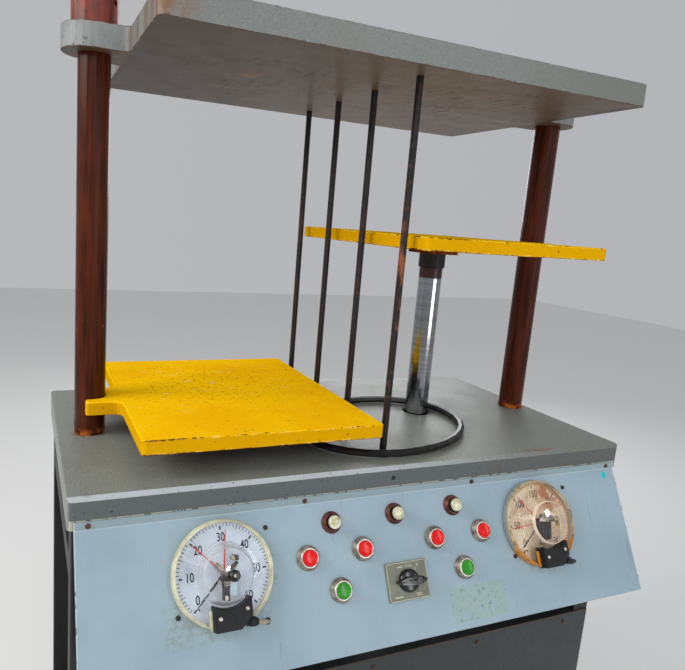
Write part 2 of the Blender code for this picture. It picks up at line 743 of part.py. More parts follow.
def box_outline():
    """Terminal box seen from the front: hollowed at the top round the dome, one lower corner cut."""
    cx, cy = BOX_CORNER
    a1, a0 = math.asin(BOX_RIGHT / BOX_ARC), math.asin(BOX_LEFT / BOX_ARC)
    steps = [a1 + (a0 - a1) * i / 8 for i in range(9)]
    arc = [(BOX_ARC * math.sin(a), -BOX_ARC * math.cos(a), 0) for a in steps]
    return rounded([(BOX_LEFT, BOX_LOW, 3), (cx, BOX_LOW, 4), (BOX_RIGHT, cy, 4)] + arc, math.radians(45))


def gland_place():
    """Where the cable gland leaves the cut corner of the box, its own Z along the cable."""
    cx, cy = BOX_CORNER
    m = at((cx + BOX_RIGHT) / 2, (cy + BOX_LOW) / 2, (BOX_Z0 + BOX_Z1) / 2 - 1)
    return m @ Matrix.Rotation(GLAND_TURN, 4, "Z") @ Matrix.Rotation(math.pi / 2, 4, "Y")


def build_window(side, m, inner):
    z, t, r, d, e = WINDOW_Z, WINDOW_T, inner - WINDOW_CLEAR, DOME_R, DOME_TOP_R
    top = z + DOME_H
    ob = smooth(add("gauge_window_" + side, turned([
        (0, top - t), (e - t, top - t), (d - t - 0.6, z + t), (d - t - 2, z), (r, z), (r, z + t), (d, z + t),
        (e + 1, top - 4), (e - 3, top), (KNOB_R, top), (KNOB_R, top + KNOB_H), (0, top + KNOB_H)], 24), m))
    # The terminal box stands over the rim, so the window is cut back round it
    g = SEAT_GAP + 0.2
    cut = plate(inset(box_outline(), -g), 0, BOX_Z1 + 1)
    boolean(ob, "cut_window_" + side, cut)


def hand(length, width, level):
    """Flat hand with a hub round the dial pin, pointing along +Y at zero."""
    z = DIAL_H + 0.6 + level * HAND_STEP
    hub = DIAL_PIN_R + 3.0
    out = []
    w = width / 2
    a = math.asin(min(0.9, w / hub))
    for i in range(9):
        t = math.pi / 2 + a + (2 * math.pi - 2 * a) * i / 8
        out.append(Vector((hub * math.cos(t), hub * math.sin(t))))
    out += [Vector((w * 0.7, length * 0.8)), Vector((0.25, length)), Vector((-0.25, length)),
            Vector((-w * 0.7, length * 0.8))]
    return out, z


def build_hands(k, side, m):
    kinds = [("pointer_" + side, POINTER_L, 3.2, POINTER_START[k]),
             ("limit_low_" + side, LIMIT_L, 2.4, LIMIT_START[k][0]),
             ("limit_high_" + side, LIMIT_L, 2.4, LIMIT_START[k][1])]
    for level, (name, length, width, part) in enumerate(kinds):
        turn = SCALE_HALF - 2 * SCALE_HALF * part
        out, z = hand(length, width, level)
        place = m @ Matrix.Rotation(turn, 4, "Z")
        ob = add(name, plate(out, z, z + HAND_T), place)
        boolean(ob, "bore_" + name, rod(DIAL_PIN_R + 0.35, z - 3, z + 3, 10))


def build_cable(side, m):
    """Short lead from the gland to its hole in the panel."""
    g = gland_place()
    a = g @ Vector((0, 0, GLAND_L + SEAT_GAP))
    out = g @ Vector((0, 0, GLAND_L + SEAT_GAP + 9))
    end = Vector((CABLE_END[0], -CABLE_END[1], -14.0))
    ctrl = [a, out, Vector((end.x, end.y, 19)), end]
    pts = []
    n = 9
    for i in range(n + 1):
        t = i / n
        u = 1 - t
        pts.append(ctrl[0] * u ** 3 + ctrl[1] * 3 * u * u * t + ctrl[2] * 3 * u * t * t + ctrl[3] * t ** 3)
    rows = []
    sides = 8
    for i, p in enumerate(pts):
        d = (pts[min(n, i + 1)] - pts[max(0, i - 1)]).normalized()
        if i == 0:
            d = (out - a).normalized()
        e = Vector((0, 1, 0))
        e = (e - d * e.dot(d)).normalized()
        f = d.cross(e)
        rows.append([p + (e * math.cos(2 * math.pi * j / sides) + f * math.sin(2 * math.pi * j / sides))
                     * (CABLE_D / 2) for j in range(sides)])
    smooth(add("gauge_cable_" + side, loft(rows), m), 50)


def build_lamps():
    for k, (x, s) in enumerate(zip(LAMP_X, LAMP_S)):
        r, g = LAMP_R, SEAT_GAP
        smooth(add("lamp_%d" % (k + 1), turned([
            (0, -BARREL_L), (BARREL_R, -BARREL_L), (BARREL_R, g), (r, g), (r, g + 2),
            (r - 2.5, LAMP_H - 1), (LENS_R + 1.5, LAMP_H), (LENS_R, LAMP_H - 1), (LENS_R, LENS_H - 3),
            (LENS_R - 2.5, LENS_H - 0.4), (0, LENS_H)], 16), on_panel(x, s)))


def build_buttons():
    c, g = CAP_CLEAR, SEAT_GAP
    for k, (x, s) in enumerate(zip(BUTTON_X, BUTTON_S)):
        m = on_panel(x, s)
        floor = CAP_OUT - CAP_T - CAP_TRAVEL - 0.4
        smooth(add("button_bezel_%d" % (k + 1), turned([
            (STEM_R + c, -BARREL_L), (BARREL_R, -BARREL_L), (BARREL_R, g), (BUTTON_R, g), (BUTTON_R, 2),
            (CAP_R + 3.0, BUTTON_H), (CAP_R + c, BUTTON_H), (CAP_R + c, floor), (STEM_R + c, floor)],
            16), m))
        smooth(add("button_cap_%d" % (k + 1), turned([
            (0, -BARREL_L + 8), (STEM_R, -BARREL_L + 8), (STEM_R, CAP_OUT - CAP_T), (CAP_R, CAP_OUT - CAP_T),
            (CAP_R, CAP_OUT - 1.2), (CAP_R - 1.2, CAP_OUT), (0, CAP_OUT)], 16), m))


def build_selector():
    g = SEAT_GAP
    m = on_panel(PLATE_X, PLATE_S)
    hw, hh = PLATE_W / 2, PLATE_H / 2
    ob = add("switch_plate", block(-hw, hw, -hh, hh, g, PLATE_T, PLATE_R, 1.0), m)
    boolean(ob, "cut_switch_plate", rod(SPINDLE_R + 0.6, -5, 20, 10))
    t = PLATE_T + g
    knob = smooth(add("switch_knob", turned([
        (0, -SWITCH_DEPTH * 0.4), (SPINDLE_R, -SWITCH_DEPTH * 0.4), (SPINDLE_R, t), (KNOB_BASE_R, t),
        (KNOB_BASE_R, t + KNOB_BASE_H - 2), (KNOB_BASE_R - 2, t + KNOB_BASE_H), (0, t + KNOB_BASE_H)], 24), m))
    hl, hw = HANDLE_L, HANDLE_W / 2
    back = -KNOB_BASE_R + 1
    grip = rounded([(back, -hw, 4), (back + hl * 0.62, -hw, 6), (back + hl, -3, 2), (back + hl, 3, 2),
                    (back + hl * 0.62, hw, 6), (back, hw, 4)], math.radians(30))
    boolean(knob, "add_grip", plate(grip, t + 2, t + HANDLE_H, 2), "UNION")


def build_power_unit():
    cx = (RAM_X[0] + RAM_X[1]) / 2
    z0 = TRAY_TOP + SEAT_GAP
    w, d = TANK_W / 2, TANK_D / 2
    z1 = z0 + TANK_H
    o = TANK_LID_OVER
    tank = add("oil_tank", block(cx - w, cx + w, -d, d, z0, z1, 10))
    lid = block(cx - w - o, cx + w + o, -d - o, d + o, z1 - 2, z1 + TANK_LID_T, 12, 1.5)
    boolean(tank, "add_lid", lid, "UNION")
    lid_z = z1 + TANK_LID_T
    by, bw, bd = BLOCK_Y, BLOCK_W / 2, BLOCK_D / 2
    boolean(tank, "add_block", block(cx - bw, cx + bw, by - bd, by + bd, lid_z - 2, lid_z + BLOCK_H, 3), "UNION")
    valves = bmesh.new()
    for sx in (-1, 1):
        join(valves, rod(17, -3, 58, 12), at(cx + sx * 30, by, lid_z + BLOCK_H))
    boolean(tank, "add_valves", valves, "UNION")
    cap = turned([(0, -2), (16, -2), (16, 18), (24, 18), (24, 40), (20, 44), (0, 44)], 12)
    boolean(tank, "add_filler", cap, "UNION", at(cx - w + 40, d - 40, lid_z))
    zb = lid_z + SEAT_GAP
    smooth(add("pump_bell", turned([
        (0, 0), (BELL_R + 8, 0), (BELL_R + 8, 10), (BELL_R, 12), (BELL_R, BELL_H - 12), (BELL_R + 10, BELL_H - 10),
        (BELL_R + 10, BELL_H), (0, BELL_H)], 20), at(cx, MOTOR_Y, zb)))
    zm = zb + BELL_H + SEAT_GAP
    out = []
    r = MOTOR_R - FIN_H
    for i in range(MOTOR_FINS):
        a = 2 * math.pi / MOTOR_FINS
        for f, rad in ((0.0, r), (0.55, r), (0.6, MOTOR_R), (0.95, MOTOR_R)):
            t = a * (i + f)
            out.append(Vector((rad * math.cos(t), rad * math.sin(t))))
    e = MOTOR_R + 2
    motor = add("motor", turned([
        (0, 0), (e, 0), (e, 18), (r - 2, 18), (r - 2, MOTOR_H - 36), (e, MOTOR_H - 36),
        (e, MOTOR_H - 10), (e - 12, MOTOR_H), (0, MOTOR_H)], 20), at(cx, MOTOR_Y, zm))
    boolean(motor, "add_motor_fins", plate(out, 9, MOTOR_H - 27), "UNION")
    boolean(motor, "add_motor_box", block(-38, 38, -MOTOR_R - 30, -MOTOR_R + 20, 70, 150, 5), "UNION")
    build_pipes(cx, lid_z)


def build_pipes(cx, lid_z):
    """Steel pressure pipes from the valve block round to the cylinder base ports."""
    z = lid_z + BLOCK_H * 0.6
    for side, sgn, x in zip(SIDES, (-1, 1), RAM_X):
        y = -(CYL_D / 2 + PIPE_BOSS_L + SEAT_GAP)
        build_pipe(side, [
            Vector((cx + sgn * (BLOCK_W / 2 + SEAT_GAP), BLOCK_Y, z)), Vector((x, BLOCK_Y, z)),
            Vector((x, BLOCK_Y, port_z())), Vector((x, y, port_z()))])


def build_pipe(side, corners):
    pts = []
    n = len(corners)
    r = PIPE_D * 1.4
    for i, p in enumerate(corners):
        if i in (0, n - 1):
            pts.append(p)
            continue
        u = (corners[i - 1] - p)
        v = (corners[i + 1] - p)
        k = min(r, u.length * 0.45, v.length * 0.45)
        u.normalize()
        v.normalize()
        for j in range(4):
            t = j / 3
            pts.append(p + u * k * (1 - t) ** 2 + v * k * t ** 2)
    rows = []
    sides = 8
    e = Vector((0, 0, 1))
    for i, p in enumerate(pts):
        d = (pts[min(len(pts) - 1, i + 1)] - pts[max(0, i - 1)]).normalized()
        e = e - d * e.dot(d)
        if e.length < 1e-3:
            e = Vector((0, 1, 0)) - d * d.y
        e.normalize()
        f = d.cross(e)
        rows.append([p + (e * math.cos(2 * math.pi * j / sides) + f * math.sin(2 * math.pi * j / sides))
                     * (PIPE_D / 2) for j in range(sides)])
    smooth(add("pressure_pipe_" + side, loft(rows)), 50)


def main():
    for ob in list(bpy.data.objects):
        bpy.data.objects.remove(ob)
    build_table()
    build_head()
    build_columns()
    build_rods()
    build_platens()
    build_cylinders()
    build_ring()
    build_frame()
    build_skin()
    build_lower_front()
    build_panel()
    build_gauges()
    build_lamps()
    build_buttons()
    build_selector()
    build_power_unit()


main()
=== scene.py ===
# Dressed model of a twin station hydraulic press with a front control panel.
import math

import bmesh
import bpy
from mathutils import Matrix, Vector


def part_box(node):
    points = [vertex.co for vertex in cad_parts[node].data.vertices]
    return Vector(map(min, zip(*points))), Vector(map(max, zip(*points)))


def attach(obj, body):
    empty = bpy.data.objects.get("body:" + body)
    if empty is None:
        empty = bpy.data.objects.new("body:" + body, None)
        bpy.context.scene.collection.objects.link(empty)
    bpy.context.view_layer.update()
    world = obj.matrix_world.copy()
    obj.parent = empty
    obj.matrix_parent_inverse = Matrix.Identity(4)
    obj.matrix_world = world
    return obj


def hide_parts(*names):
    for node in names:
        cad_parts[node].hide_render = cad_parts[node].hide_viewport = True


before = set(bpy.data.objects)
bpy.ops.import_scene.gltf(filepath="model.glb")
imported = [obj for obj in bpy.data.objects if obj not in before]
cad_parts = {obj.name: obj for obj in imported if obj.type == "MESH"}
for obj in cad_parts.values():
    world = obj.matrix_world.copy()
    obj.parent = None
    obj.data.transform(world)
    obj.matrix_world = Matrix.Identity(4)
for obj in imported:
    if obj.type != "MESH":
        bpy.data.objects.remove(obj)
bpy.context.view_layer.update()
MM = 0.001

# The press in millimetres, as the solids have it, and its origin under the middle
ORIGIN = Vector((7.2, -53.579, 0))
PANEL_TILT = math.radians(27.5)
BEND = Vector((0, -288.3, 801))
DOWN = Vector((0, -math.sin(PANEL_TILT), -math.cos(PANEL_TILT)))
OUT = Vector((0, -math.cos(PANEL_TILT), math.sin(PANEL_TILT)))
GAUGES = {"left": (-321.5, 86.5), "right": (303, 84.5)}
LAMPS = ((-128.5, 34), (-6, 33), (116.5, 32))
BUTTONS = ((-178, 84), (-76.5, 82.5), (68, 82.5), (169, 82.5), (-126, 141),
           (120, 139.5))
RED_BUTTONS = 4
SELECTOR = (-0.5, 144)

# What paints are laid by: rams, columns and their row, the table's top, the straight part of the
# crosshead between its ears, and the pad under a platen
RAMS_X = (-220.6, 223)
COLUMNS_X = (-495.8, 498.2)
MIDDLE_Y = 53.6
TABLE_TOP = 850
HEAD_ENDS = (-446.3, 448.7)
PAD_HEIGHT = 14


def srgb(r, g, b):
    """A colour read off the object, 0 to 255, as the linear colour that nodes take."""
    out = []
    for c in (r, g, b):
        c /= 255
        out.append(c / 12.92 if c <= 0.04045 else ((c + 0.055) / 1.055) ** 2.4)
    return (*out, 1)


def on_panel(x, s, h=0):
    """Place on the slanted panel: x from the middle, s down the slope, h off its face."""
    p = (BEND + DOWN * s + OUT * h - ORIGIN) * MM
    m = Matrix.Rotation(math.pi / 2 - PANEL_TILT, 4, "X")
    m.translation = Vector(((x - ORIGIN.x) * MM, p.y, p.z))
    return m


# Camera at the height and angle of the photograph
def make_camera():
    right = Vector((0.92176392, -0.38142069, 0.06978204))
    down = Vector((-0.00483249, -0.19125213, -0.98152905))
    forward = Vector((0.38772145, 0.90440084, -0.17813253))
    turn = Matrix((right, -down, -forward)).transposed().to_4x4()
    data = bpy.data.cameras.new("camera")
    data.sensor_width = 36
    data.lens = 33.17
    data.shift_x = 0.07664
    data.clip_start = 0.02
    camera = bpy.data.objects.new("camera", data)
    camera.matrix_world = Matrix.Translation((-0.6063, -1.1178, 1.2610)) @ turn
    bpy.context.scene.collection.objects.link(camera)
    bpy.context.scene.camera = camera


def lamp_panel(name, place, target, size, power, colour):
    """Soft rectangular lamp that faces its target."""
    data = bpy.data.lights.new(name, "AREA")
    data.shape = "RECTANGLE"
    data.size, data.size_y = size
    data.energy = power
    data.color = colour
    lamp = bpy.data.objects.new(name, data)
    look = (Vector(target) - Vector(place)).to_track_quat("-Z", "Y")
    lamp.matrix_world = Matrix.Translation(place) @ look.to_matrix().to_4x4()
    bpy.context.scene.collection.objects.link(lamp)


def make_stage():
    bm = bmesh.new()
    bmesh.ops.create_grid(bm, x_segments=1, y_segments=1, size=9)
    mesh = bpy.data.meshes.new("floor")
    bm.to_mesh(mesh)
    bm.free()
    floor = bpy.data.objects.new("floor", mesh)
    bpy.context.scene.collection.objects.link(floor)
    paint = bpy.data.materials.new("studio_floor")
    paint.use_nodes = True
    shader = paint.node_tree.nodes["Principled BSDF"]
    shader.inputs["Base Color"].default_value = (0.80, 0.80, 0.79, 1)
    shader.inputs["Roughness"].default_value = 0.9
    mesh.materials.append(paint)

    world = bpy.data.worlds.new("studio")
    bpy.context.scene.world = world
    world.use_nodes = True
    tree = world.node_tree
    coord = tree.nodes.new("ShaderNodeTexCoord")
    axes = tree.nodes.new("ShaderNodeSeparateXYZ")
    tree.links.new(coord.outputs["Generated"], axes.inputs[0])
    side = tree.nodes.new("ShaderNodeMapRange")
    tree.links.new(axes.outputs["X"], side.inputs["Value"])
    side.inputs["From Min"].default_value = -0.9
    side.inputs["From Max"].default_value = 0.9
    ramp = tree.nodes.new("ShaderNodeMix")
    ramp.data_type = "RGBA"
    tree.links.new(side.outputs["Result"], ramp.inputs[0])
    ramp.inputs[6].default_value = (0.74, 0.75, 0.76, 1)
    ramp.inputs[7].default_value = (0.66, 0.67, 0.70, 1)
    back = tree.nodes["Background"]
    tree.links.new(ramp.outputs[2], back.inputs["Color"])
    back.inputs["Strength"].default_value = 0.68

    middle, low_middle = (0, 0, 0.85), (0, -0.1, 0.9)
    lamp_panel("front_strip", (1.5, -3.2, 1.7), (0.1, 0, 1.1), (0.50, 2.6), 25, (0.93, 0.96, 1))
    lamp_panel("side_left", (-3, -0.3, 2.6), middle, (1.8, 1.4), 66, (1, 0.98, 0.95))
    lamp_panel("back_right", (1.6, 2.8, 2), middle, (1.8, 1.4), 30, (0.96, 0.98, 1))
    lamp_panel("front_left", (-1.3, -3, 2.9), low_middle, (2.2, 1.4), 30, (1, 0.98, 0.95))
    # Small lamps that glint on the domes of the two gauges
    lamp_panel("glint_left", (0.488, -2.934, 1.914), (-0.33, -0.31, 0.74), (0.075, 0.06), 0.9,
               (1, 1, 1))
    lamp_panel("glint_right", (3.090, -3.058, 2.096), (0.30, -0.31, 0.74), (0.14, 0.13), 1.5,
               (0.98, 0.96, 1))


# Finishes are built with these few calls; patterns sit on Object coordinates, in metres
class Finish:
    def __init__(self, name, roughness=0.5, metallic=0, specular=0.5, coat=0):
        self.material = bpy.data.materials.new(name)
        self.material.use_nodes = True
        self.tree = self.material.node_tree
        self.shader = self.tree.nodes["Principled BSDF"]
        self.shader.inputs["Roughness"].default_value = roughness
        self.shader.inputs["Metallic"].default_value = metallic
        self.shader.inputs["Specular IOR Level"].default_value = specular
        if coat:
            self.shader.inputs["Coat Weight"].default_value = coat
            self.shader.inputs["Coat Roughness"].default_value = 0.08
        self.coord = self.tree.nodes.new("ShaderNodeTexCoord").outputs["Object"]

    def put(self, socket, value):
        """Links a node's output to the socket, or sets a number or a colour from 0 to 255."""
        if hasattr(value, "node"):
            self.tree.links.new(value, socket)
        else:
            socket.default_value = srgb(*value) if isinstance(value, tuple) else value

    def add(self, kind, coord=None, **values):
        """A node that reads a piece's coordinates, with the values of its other sockets."""
        node = self.tree.nodes.new("ShaderNode" + kind)
        self.put(node.inputs["Vector"], coord or self.coord)
        for socket, value in values.items():
            node.inputs[socket].default_value = value
        return node

    def placed(self, place):
        """Coordinates as they are read in a piece's own frame."""
        node = self.add("Mapping", Location=place.translation, Rotation=place.to_euler())
        node.vector_type = "TEXTURE"
        return node.outputs["Vector"]

    def stretched(self, scale, coord=None):
        return self.add("Mapping", coord, Scale=scale).outputs["Vector"]

    def noise(self, scale, detail=3, rough=0.55, distort=0, coord=None):
        return self.add("TexNoise", coord, Scale=scale, Detail=detail, Roughness=rough,
                        Distortion=distort).outputs["Fac"]

    def axes(self, coord=None):
        return tuple(self.add("SeparateXYZ", coord).outputs)

    def sum(self, op, a, b=0, c=0):
        node = self.tree.nodes.new("ShaderNodeMath")
        node.operation = op
        for socket, value in zip(node.inputs, (a, b, c)):
            self.put(socket, value)
        return node.outputs[0]

    def step(self, value, start, end):
        """0 at start and 1 at end, eased."""
        node = self.tree.nodes.new("ShaderNodeMapRange")
        node.interpolation_type = "SMOOTHSTEP"
        self.put(node.inputs["Value"], value)
        (low, at_low), (high, at_high) = sorted(((start, 0), (end, 1)))
        for socket, number in zip(("From Min", "From Max", "To Min", "To Max"),
                                  (low, high, at_low, at_high)):
            node.inputs[socket].default_value = number
        return node.outputs["Result"]

    def patches(self, start, end, *grain, **where):
        """Patches of a noise, 0 at start and 1 at end."""
        return self.step(self.noise(*grain, **where), start, end)

    def both(self, first, *others):
        """Where all the masks are 1."""
        for mask in others:
            first = self.sum("MULTIPLY", first, mask)
        return first

    def either(self, a, b):
        return self.sum("MAXIMUM", a, b)

    def over(self, base, top, mask):
        """One colour laid over another where the mask is 1."""
        node = self.tree.nodes.new("ShaderNodeMix")
        node.data_type = "RGBA"
        self.put(node.inputs["Factor"], mask)
        self.put(node.inputs[6], base)
        self.put(node.inputs[7], top)
        return node.outputs[2]

    def lay(self, colour, *masks):
        """Lays a colour over the finish so far."""
        self.colour = self.over(self.colour, colour, self.both(*masks))

    def two_tone(self, base, second, *masks):
        self.colour = base
        self.lay(second, *masks)

    def level(self, low, high, mask):
        """A value that runs from low to high with the mask."""
        return self.sum("MULTIPLY_ADD", mask, high - low, low)

    def edge(self, low, high):
        """Distance to the nearest edge of a box shaped piece, in metres."""
        gaps = []
        for value, a, b in zip(self.axes(), low, high):
            gaps.append(self.sum("MINIMUM", self.sum("SUBTRACT", value, a),
                                 self.sum("SUBTRACT", b, value)))
        x, y, z = gaps
        small, large = self.sum("MINIMUM", x, y), self.sum("MAXIMUM", x, y)
        return self.sum("MAXIMUM", small, self.sum("MINIMUM", large, z))

    def spot(self, coord, x, y, r, soft):
        """1 inside a round spot on a flat frame."""
        px, py, _ = self.axes(coord)
        d = self.length(self.sum("SUBTRACT", px, x), self.sum("SUBTRACT", py, y))
        return self.step(d, r + soft, r)

    def length(self, x, y):
        """Length of the arrow x, y."""
        squares = self.sum("ADD", self.sum("MULTIPLY", x, x), self.sum("MULTIPLY", y, y))
        return self.sum("SQRT", squares)

    def field(self, coord, x0, x1, y0, y1, soft):
        """1 inside a rectangle on a flat frame."""
        px, py, _ = self.axes(coord)
        return self.both(self.step(px, x0 - soft, x0), self.step(px, x1 + soft, x1),
                         self.step(py, y0 - soft, y0), self.step(py, y1 + soft, y1))

    def finish(self, roughness, height, depth, metallic=None):
        """Joins the colour, roughness and relief to the shader; the depth is in metres."""
        self.put(self.shader.inputs["Base Color"], self.colour)
        self.put(self.shader.inputs["Roughness"], roughness)
        if metallic is not None:
            self.put(self.shader.inputs["Metallic"], metallic)
        bump = self.tree.nodes.new("ShaderNodeBump")
        bump.inputs["Distance"].default_value = depth
        self.put(bump.inputs["Height"], height)
        self.tree.links.new(bump.outputs["Normal"], self.shader.inputs["Normal"])
        return self.material


# Paints and metals of the press
def speckle(f, base, dark, light, scale, amount):
    """Hammered shop paint: one colour with fine dark and pale specks."""
    fine = f.noise(scale, 2, 0.7)
    f.two_tone(base, dark, f.step(fine, 0.5, 0.34), amount)
    f.lay(light, f.step(fine, 0.55, 0.7), amount)
    return fine


def chips(f, edge, width, grain, reach=0.006):
    """Paint knocked off along the edges: ragged, widest where the noise is high."""
    ragged = f.sum("MULTIPLY_ADD", f.noise(grain, 5, 0.65), -reach, edge)
    middle, soft = width - reach * 0.5, 0.0004
    return f.step(ragged, middle + soft, middle - soft)


def table_paint(low, high):
    """Grey-green shop paint with oil and rust where pieces stand, a painted highlight on its front
    bevel, and painted shade on its apron and towards the right.
    """
    f = Finish("table_paint", 0.42, specular=0.35)
    fine = speckle(f, (130, 135, 128), (104, 109, 103), (162, 165, 157), 380, 0.7)
    large = f.noise(4, 5, 0.6)
    f.lay((110, 112, 100), f.step(large, 0.45, 0.72), 0.5)
    f.lay((140, 146, 142), f.step(large, 0.48, 0.3), 0.4)
    x, y, z = f.axes()
    # Painted shade on the apron, a painted highlight on the front bevel, and what lies round the
    # rams and the columns
    # Painted shade: the apron darker than the top
    apron = f.both(f.step(z, high.z - 0.0064, high.z - 0.0072),
                   f.step(y, low.y + 0.004, low.y + 0.002))
    f.lay((84, 91, 93), apron, 0.85)
    # Painted highlight along the front bevel, fading towards the right
    bevel = f.both(f.step(y, low.y + 0.0072, low.y + 0.0058),
                   f.step(z, high.z - 0.007, high.z - 0.0058), f.step(x, 0.42, -0.1))
    f.lay((190, 196, 202), bevel, f.level(0.55, 0.95, f.noise(30, 4)))
    dirt = f.patches(0.6, 0.74, 22, 6, 0.7)
    f.lay((72, 66, 56), dirt, 0.3)
    for hole in RAMS_X:
        ring = f.spot(None, hole * MM, MIDDLE_Y * MM, 0.033, 0.02)
        f.lay((60, 57, 50), ring, f.patches(0.35, 0.6, 40, 4))
    for foot in COLUMNS_X:
        ring = f.spot(None, foot * MM, MIDDLE_Y * MM, 0.028, 0.01)
        f.lay((120, 66, 34), ring, f.patches(0.46, 0.56, 70, 4))
    # Rust, a brown spill in front at the right, pale and dark specks
    rust = f.both(f.patches(0.62, 0.74, 9, 5, 0.65, 0.4), f.patches(0.46, 0.6, 90, 3))
    f.lay((116, 78, 48), rust, 0.5)
    front = f.both(f.step(y, low.y + 0.1, low.y + 0.04), f.step(x, 0.1, 0.3))
    spill = f.both(front, f.patches(0.58, 0.66, 30, 5, 0.7, 0.5))
    f.lay((104, 66, 38), spill, 0.6)
    specks = f.patches(0.69, 0.715, 230, 2, 0.6)
    f.lay((196, 196, 186), specks, f.level(0.8, 0.15, apron))
    browned = f.both(f.patches(0.64, 0.68, 160, 3, 0.6), f.patches(0.44, 0.58, 7, 3))
    f.lay((102, 76, 54), browned, 0.6)
    # Painted shade: the table darker towards the right
    f.lay((84, 86, 80), f.step(x, 0.02, 0.42), 0.38)
    pits = f.patches(0.68, 0.71, 190, 2, 0.6, coord=f.stretched((1, 1.1, 1.3)))
    f.lay((50, 48, 44), pits, 0.85)
    # Old sealing along the panel's flange, and a stain on the front edge
    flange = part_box("control_panel")[1].z
    seam = f.both(f.step(z, flange + 0.0026, flange + 0.0016),
                  f.step(y, low.y + 0.004, low.y + 0.002))
    ragged = f.patches(0.44, 0.48, 70, 4, 0.7, coord=f.stretched((1, 1, 0)))
    f.lay((186, 184, 168), seam, ragged, 0.8)
    stain = f.both(f.step(x, 0.29, 0.3), f.step(x, 0.375, 0.355),
                   f.step(y, low.y + 0.006, low.y + 0.0075),
                   f.step(y, low.y + 0.019, low.y + 0.011))
    f.lay((128, 84, 44), stain, f.patches(0.38, 0.5, 120, 4, 0.7))
    edge = f.edge(low, high)
    bare = chips(f, edge, 0.0003, 75, 0.005)
    f.lay((110, 78, 58), bare)
    rough = f.level(0.36, 0.56, f.noise(14, 4, 0.6))
    return f.finish(rough, f.sum("ADD", fine, f.both(bare, -2)), 0.00022)


def head_paint(low, high):
    """Smooth grey paint, browned and freckled underneath where the work is pressed against it,
    with painted shade on the underside's left and the front's right, and painted highlights along
    its edges.
    """
    f = Finish("head_paint", 0.5, specular=0.3)
    x, y, z = f.axes()
    speckle(f, (99, 87, 77), (74, 63, 53), (124, 112, 100), 300, 0.8)
    f.lay((86, 68, 55), f.patches(0.45, 0.66, 4, 5, 0.65), 0.7)
    scratch = f.noise(34, 4, 0.7, coord=f.stretched((0.12, 1, 1)))
    f.lay((144, 132, 118), f.step(scratch, 0.58, 0.7), 0.4)
    hair = f.noise(26, 3, 0.6, 0.8, f.stretched((0.6, 0.1, 1)))
    f.lay((58, 46, 38), f.step(hair, 0.69, 0.7), 0.6)
    # Where the work is pressed: dark freckles drawn out along the depth, and one rusty bloom
    pressed = f.either(f.spot(None, -0.205, 0.03, 0.06, 0.15),
                       f.spot(None, 0.2, -0.04, 0.05, 0.15))
    grit = f.stretched((0.8, 0.22, 1))
    dense = f.both(f.patches(0.56, 0.6, 110, 3, 0.7, coord=grit), f.step(pressed, 0.05, 0.5))
    sparse = f.patches(0.645, 0.67, 90, 3, 0.6, coord=grit)
    f.lay((40, 27, 19), f.either(dense, sparse), 0.9)
    bloom = f.both(f.spot(None, -0.245, 0.02, 0.012, 0.04),
                   f.patches(0.46, 0.56, 75, 5, 0.7, coord=grit))
    f.lay((166, 108, 50), bloom)
    brown = f.both(pressed, f.patches(0.46, 0.64, 16, 5, 0.7))
    f.lay((98, 68, 44), brown, 0.6)
    # Painted shade: the underside darker towards the left end
    f.lay((48, 37, 27), f.step(x, 0.1, -0.42), 0.72)
    underside = f.colour

    # The front and the ends
    fine = speckle(f, (124, 128, 125), (106, 111, 109), (142, 146, 143), 620, 0.8)
    large = f.noise(7, 4, 0.6)
    f.lay((120, 119, 110), f.step(large, 0.5, 0.74), 0.5)
    # Painted shade: the front darker towards the right
    front = f.both(f.step(y, low.y + 0.003, low.y + 0.001), f.step(x, 0.05, 0.4))
    f.lay((108, 111, 101), front, 0.6)
    dark_dots = f.both(f.patches(0.72, 0.74, 150, 2, 0.6), f.patches(0.45, 0.6, 9, 2))
    f.lay((70, 62, 54), dark_dots, 0.8)
    under = f.step(z, low.z + 0.001, low.z + 0.0006)
    f.lay(underside, under)
    face = f.step(under, 1, 0)
    corner = f.both(f.step(x, -0.375, -0.435), f.step(y, -0.22, -0.236))
    rust = f.both(corner, f.patches(0.38, 0.54, 26, 5, 0.65))
    f.lay((130, 92, 62), rust, 0.85, face)
    side = f.both(f.step(x, low.x + 0.004, low.x + 0.002), f.step(x, low.x - 0.006, low.x - 0.002))
    run = f.noise(24, 5, 0.7, coord=f.stretched((1, 1, 0.3)))
    f.lay((104, 82, 66), side, f.step(run, 0.42, 0.6), face, 0.8)
    # The left ear, rubbed and pitted
    ear = f.both(f.step(x, low.x - 0.002, low.x - 0.01), face)
    rubbed = f.both(ear, f.patches(0.42, 0.6, 16, 4, 0.6))
    f.lay((146, 151, 152), rubbed, 0.5)
    pits = f.both(ear, f.patches(0.6, 0.64, 120, 4, 0.7),
                  f.step(z, high.z - 0.012, low.z + 0.004))
    f.lay((50, 52, 52), pits, 0.85)
    edge = f.edge(low, high)
    # Pale along the edges: rubbed paint and a painted highlight
    edge_wear_and_highlight = f.both(f.step(edge, 0.003, 0.0012), f.patches(0.56, 0.66, 60, 4, 0.6))
    f.lay((184, 188, 184), edge_wear_and_highlight, 0.5)
    bare = chips(f, edge, 0.0008, 65)
    f.lay((86, 66, 52), bare)
    rough = f.level(0.36, 0.55, f.noise(20, 4, 0.6))
    return f.finish(rough, f.sum("ADD", f.both(fine, 0.5), f.both(bare, -2)), 0.0002)


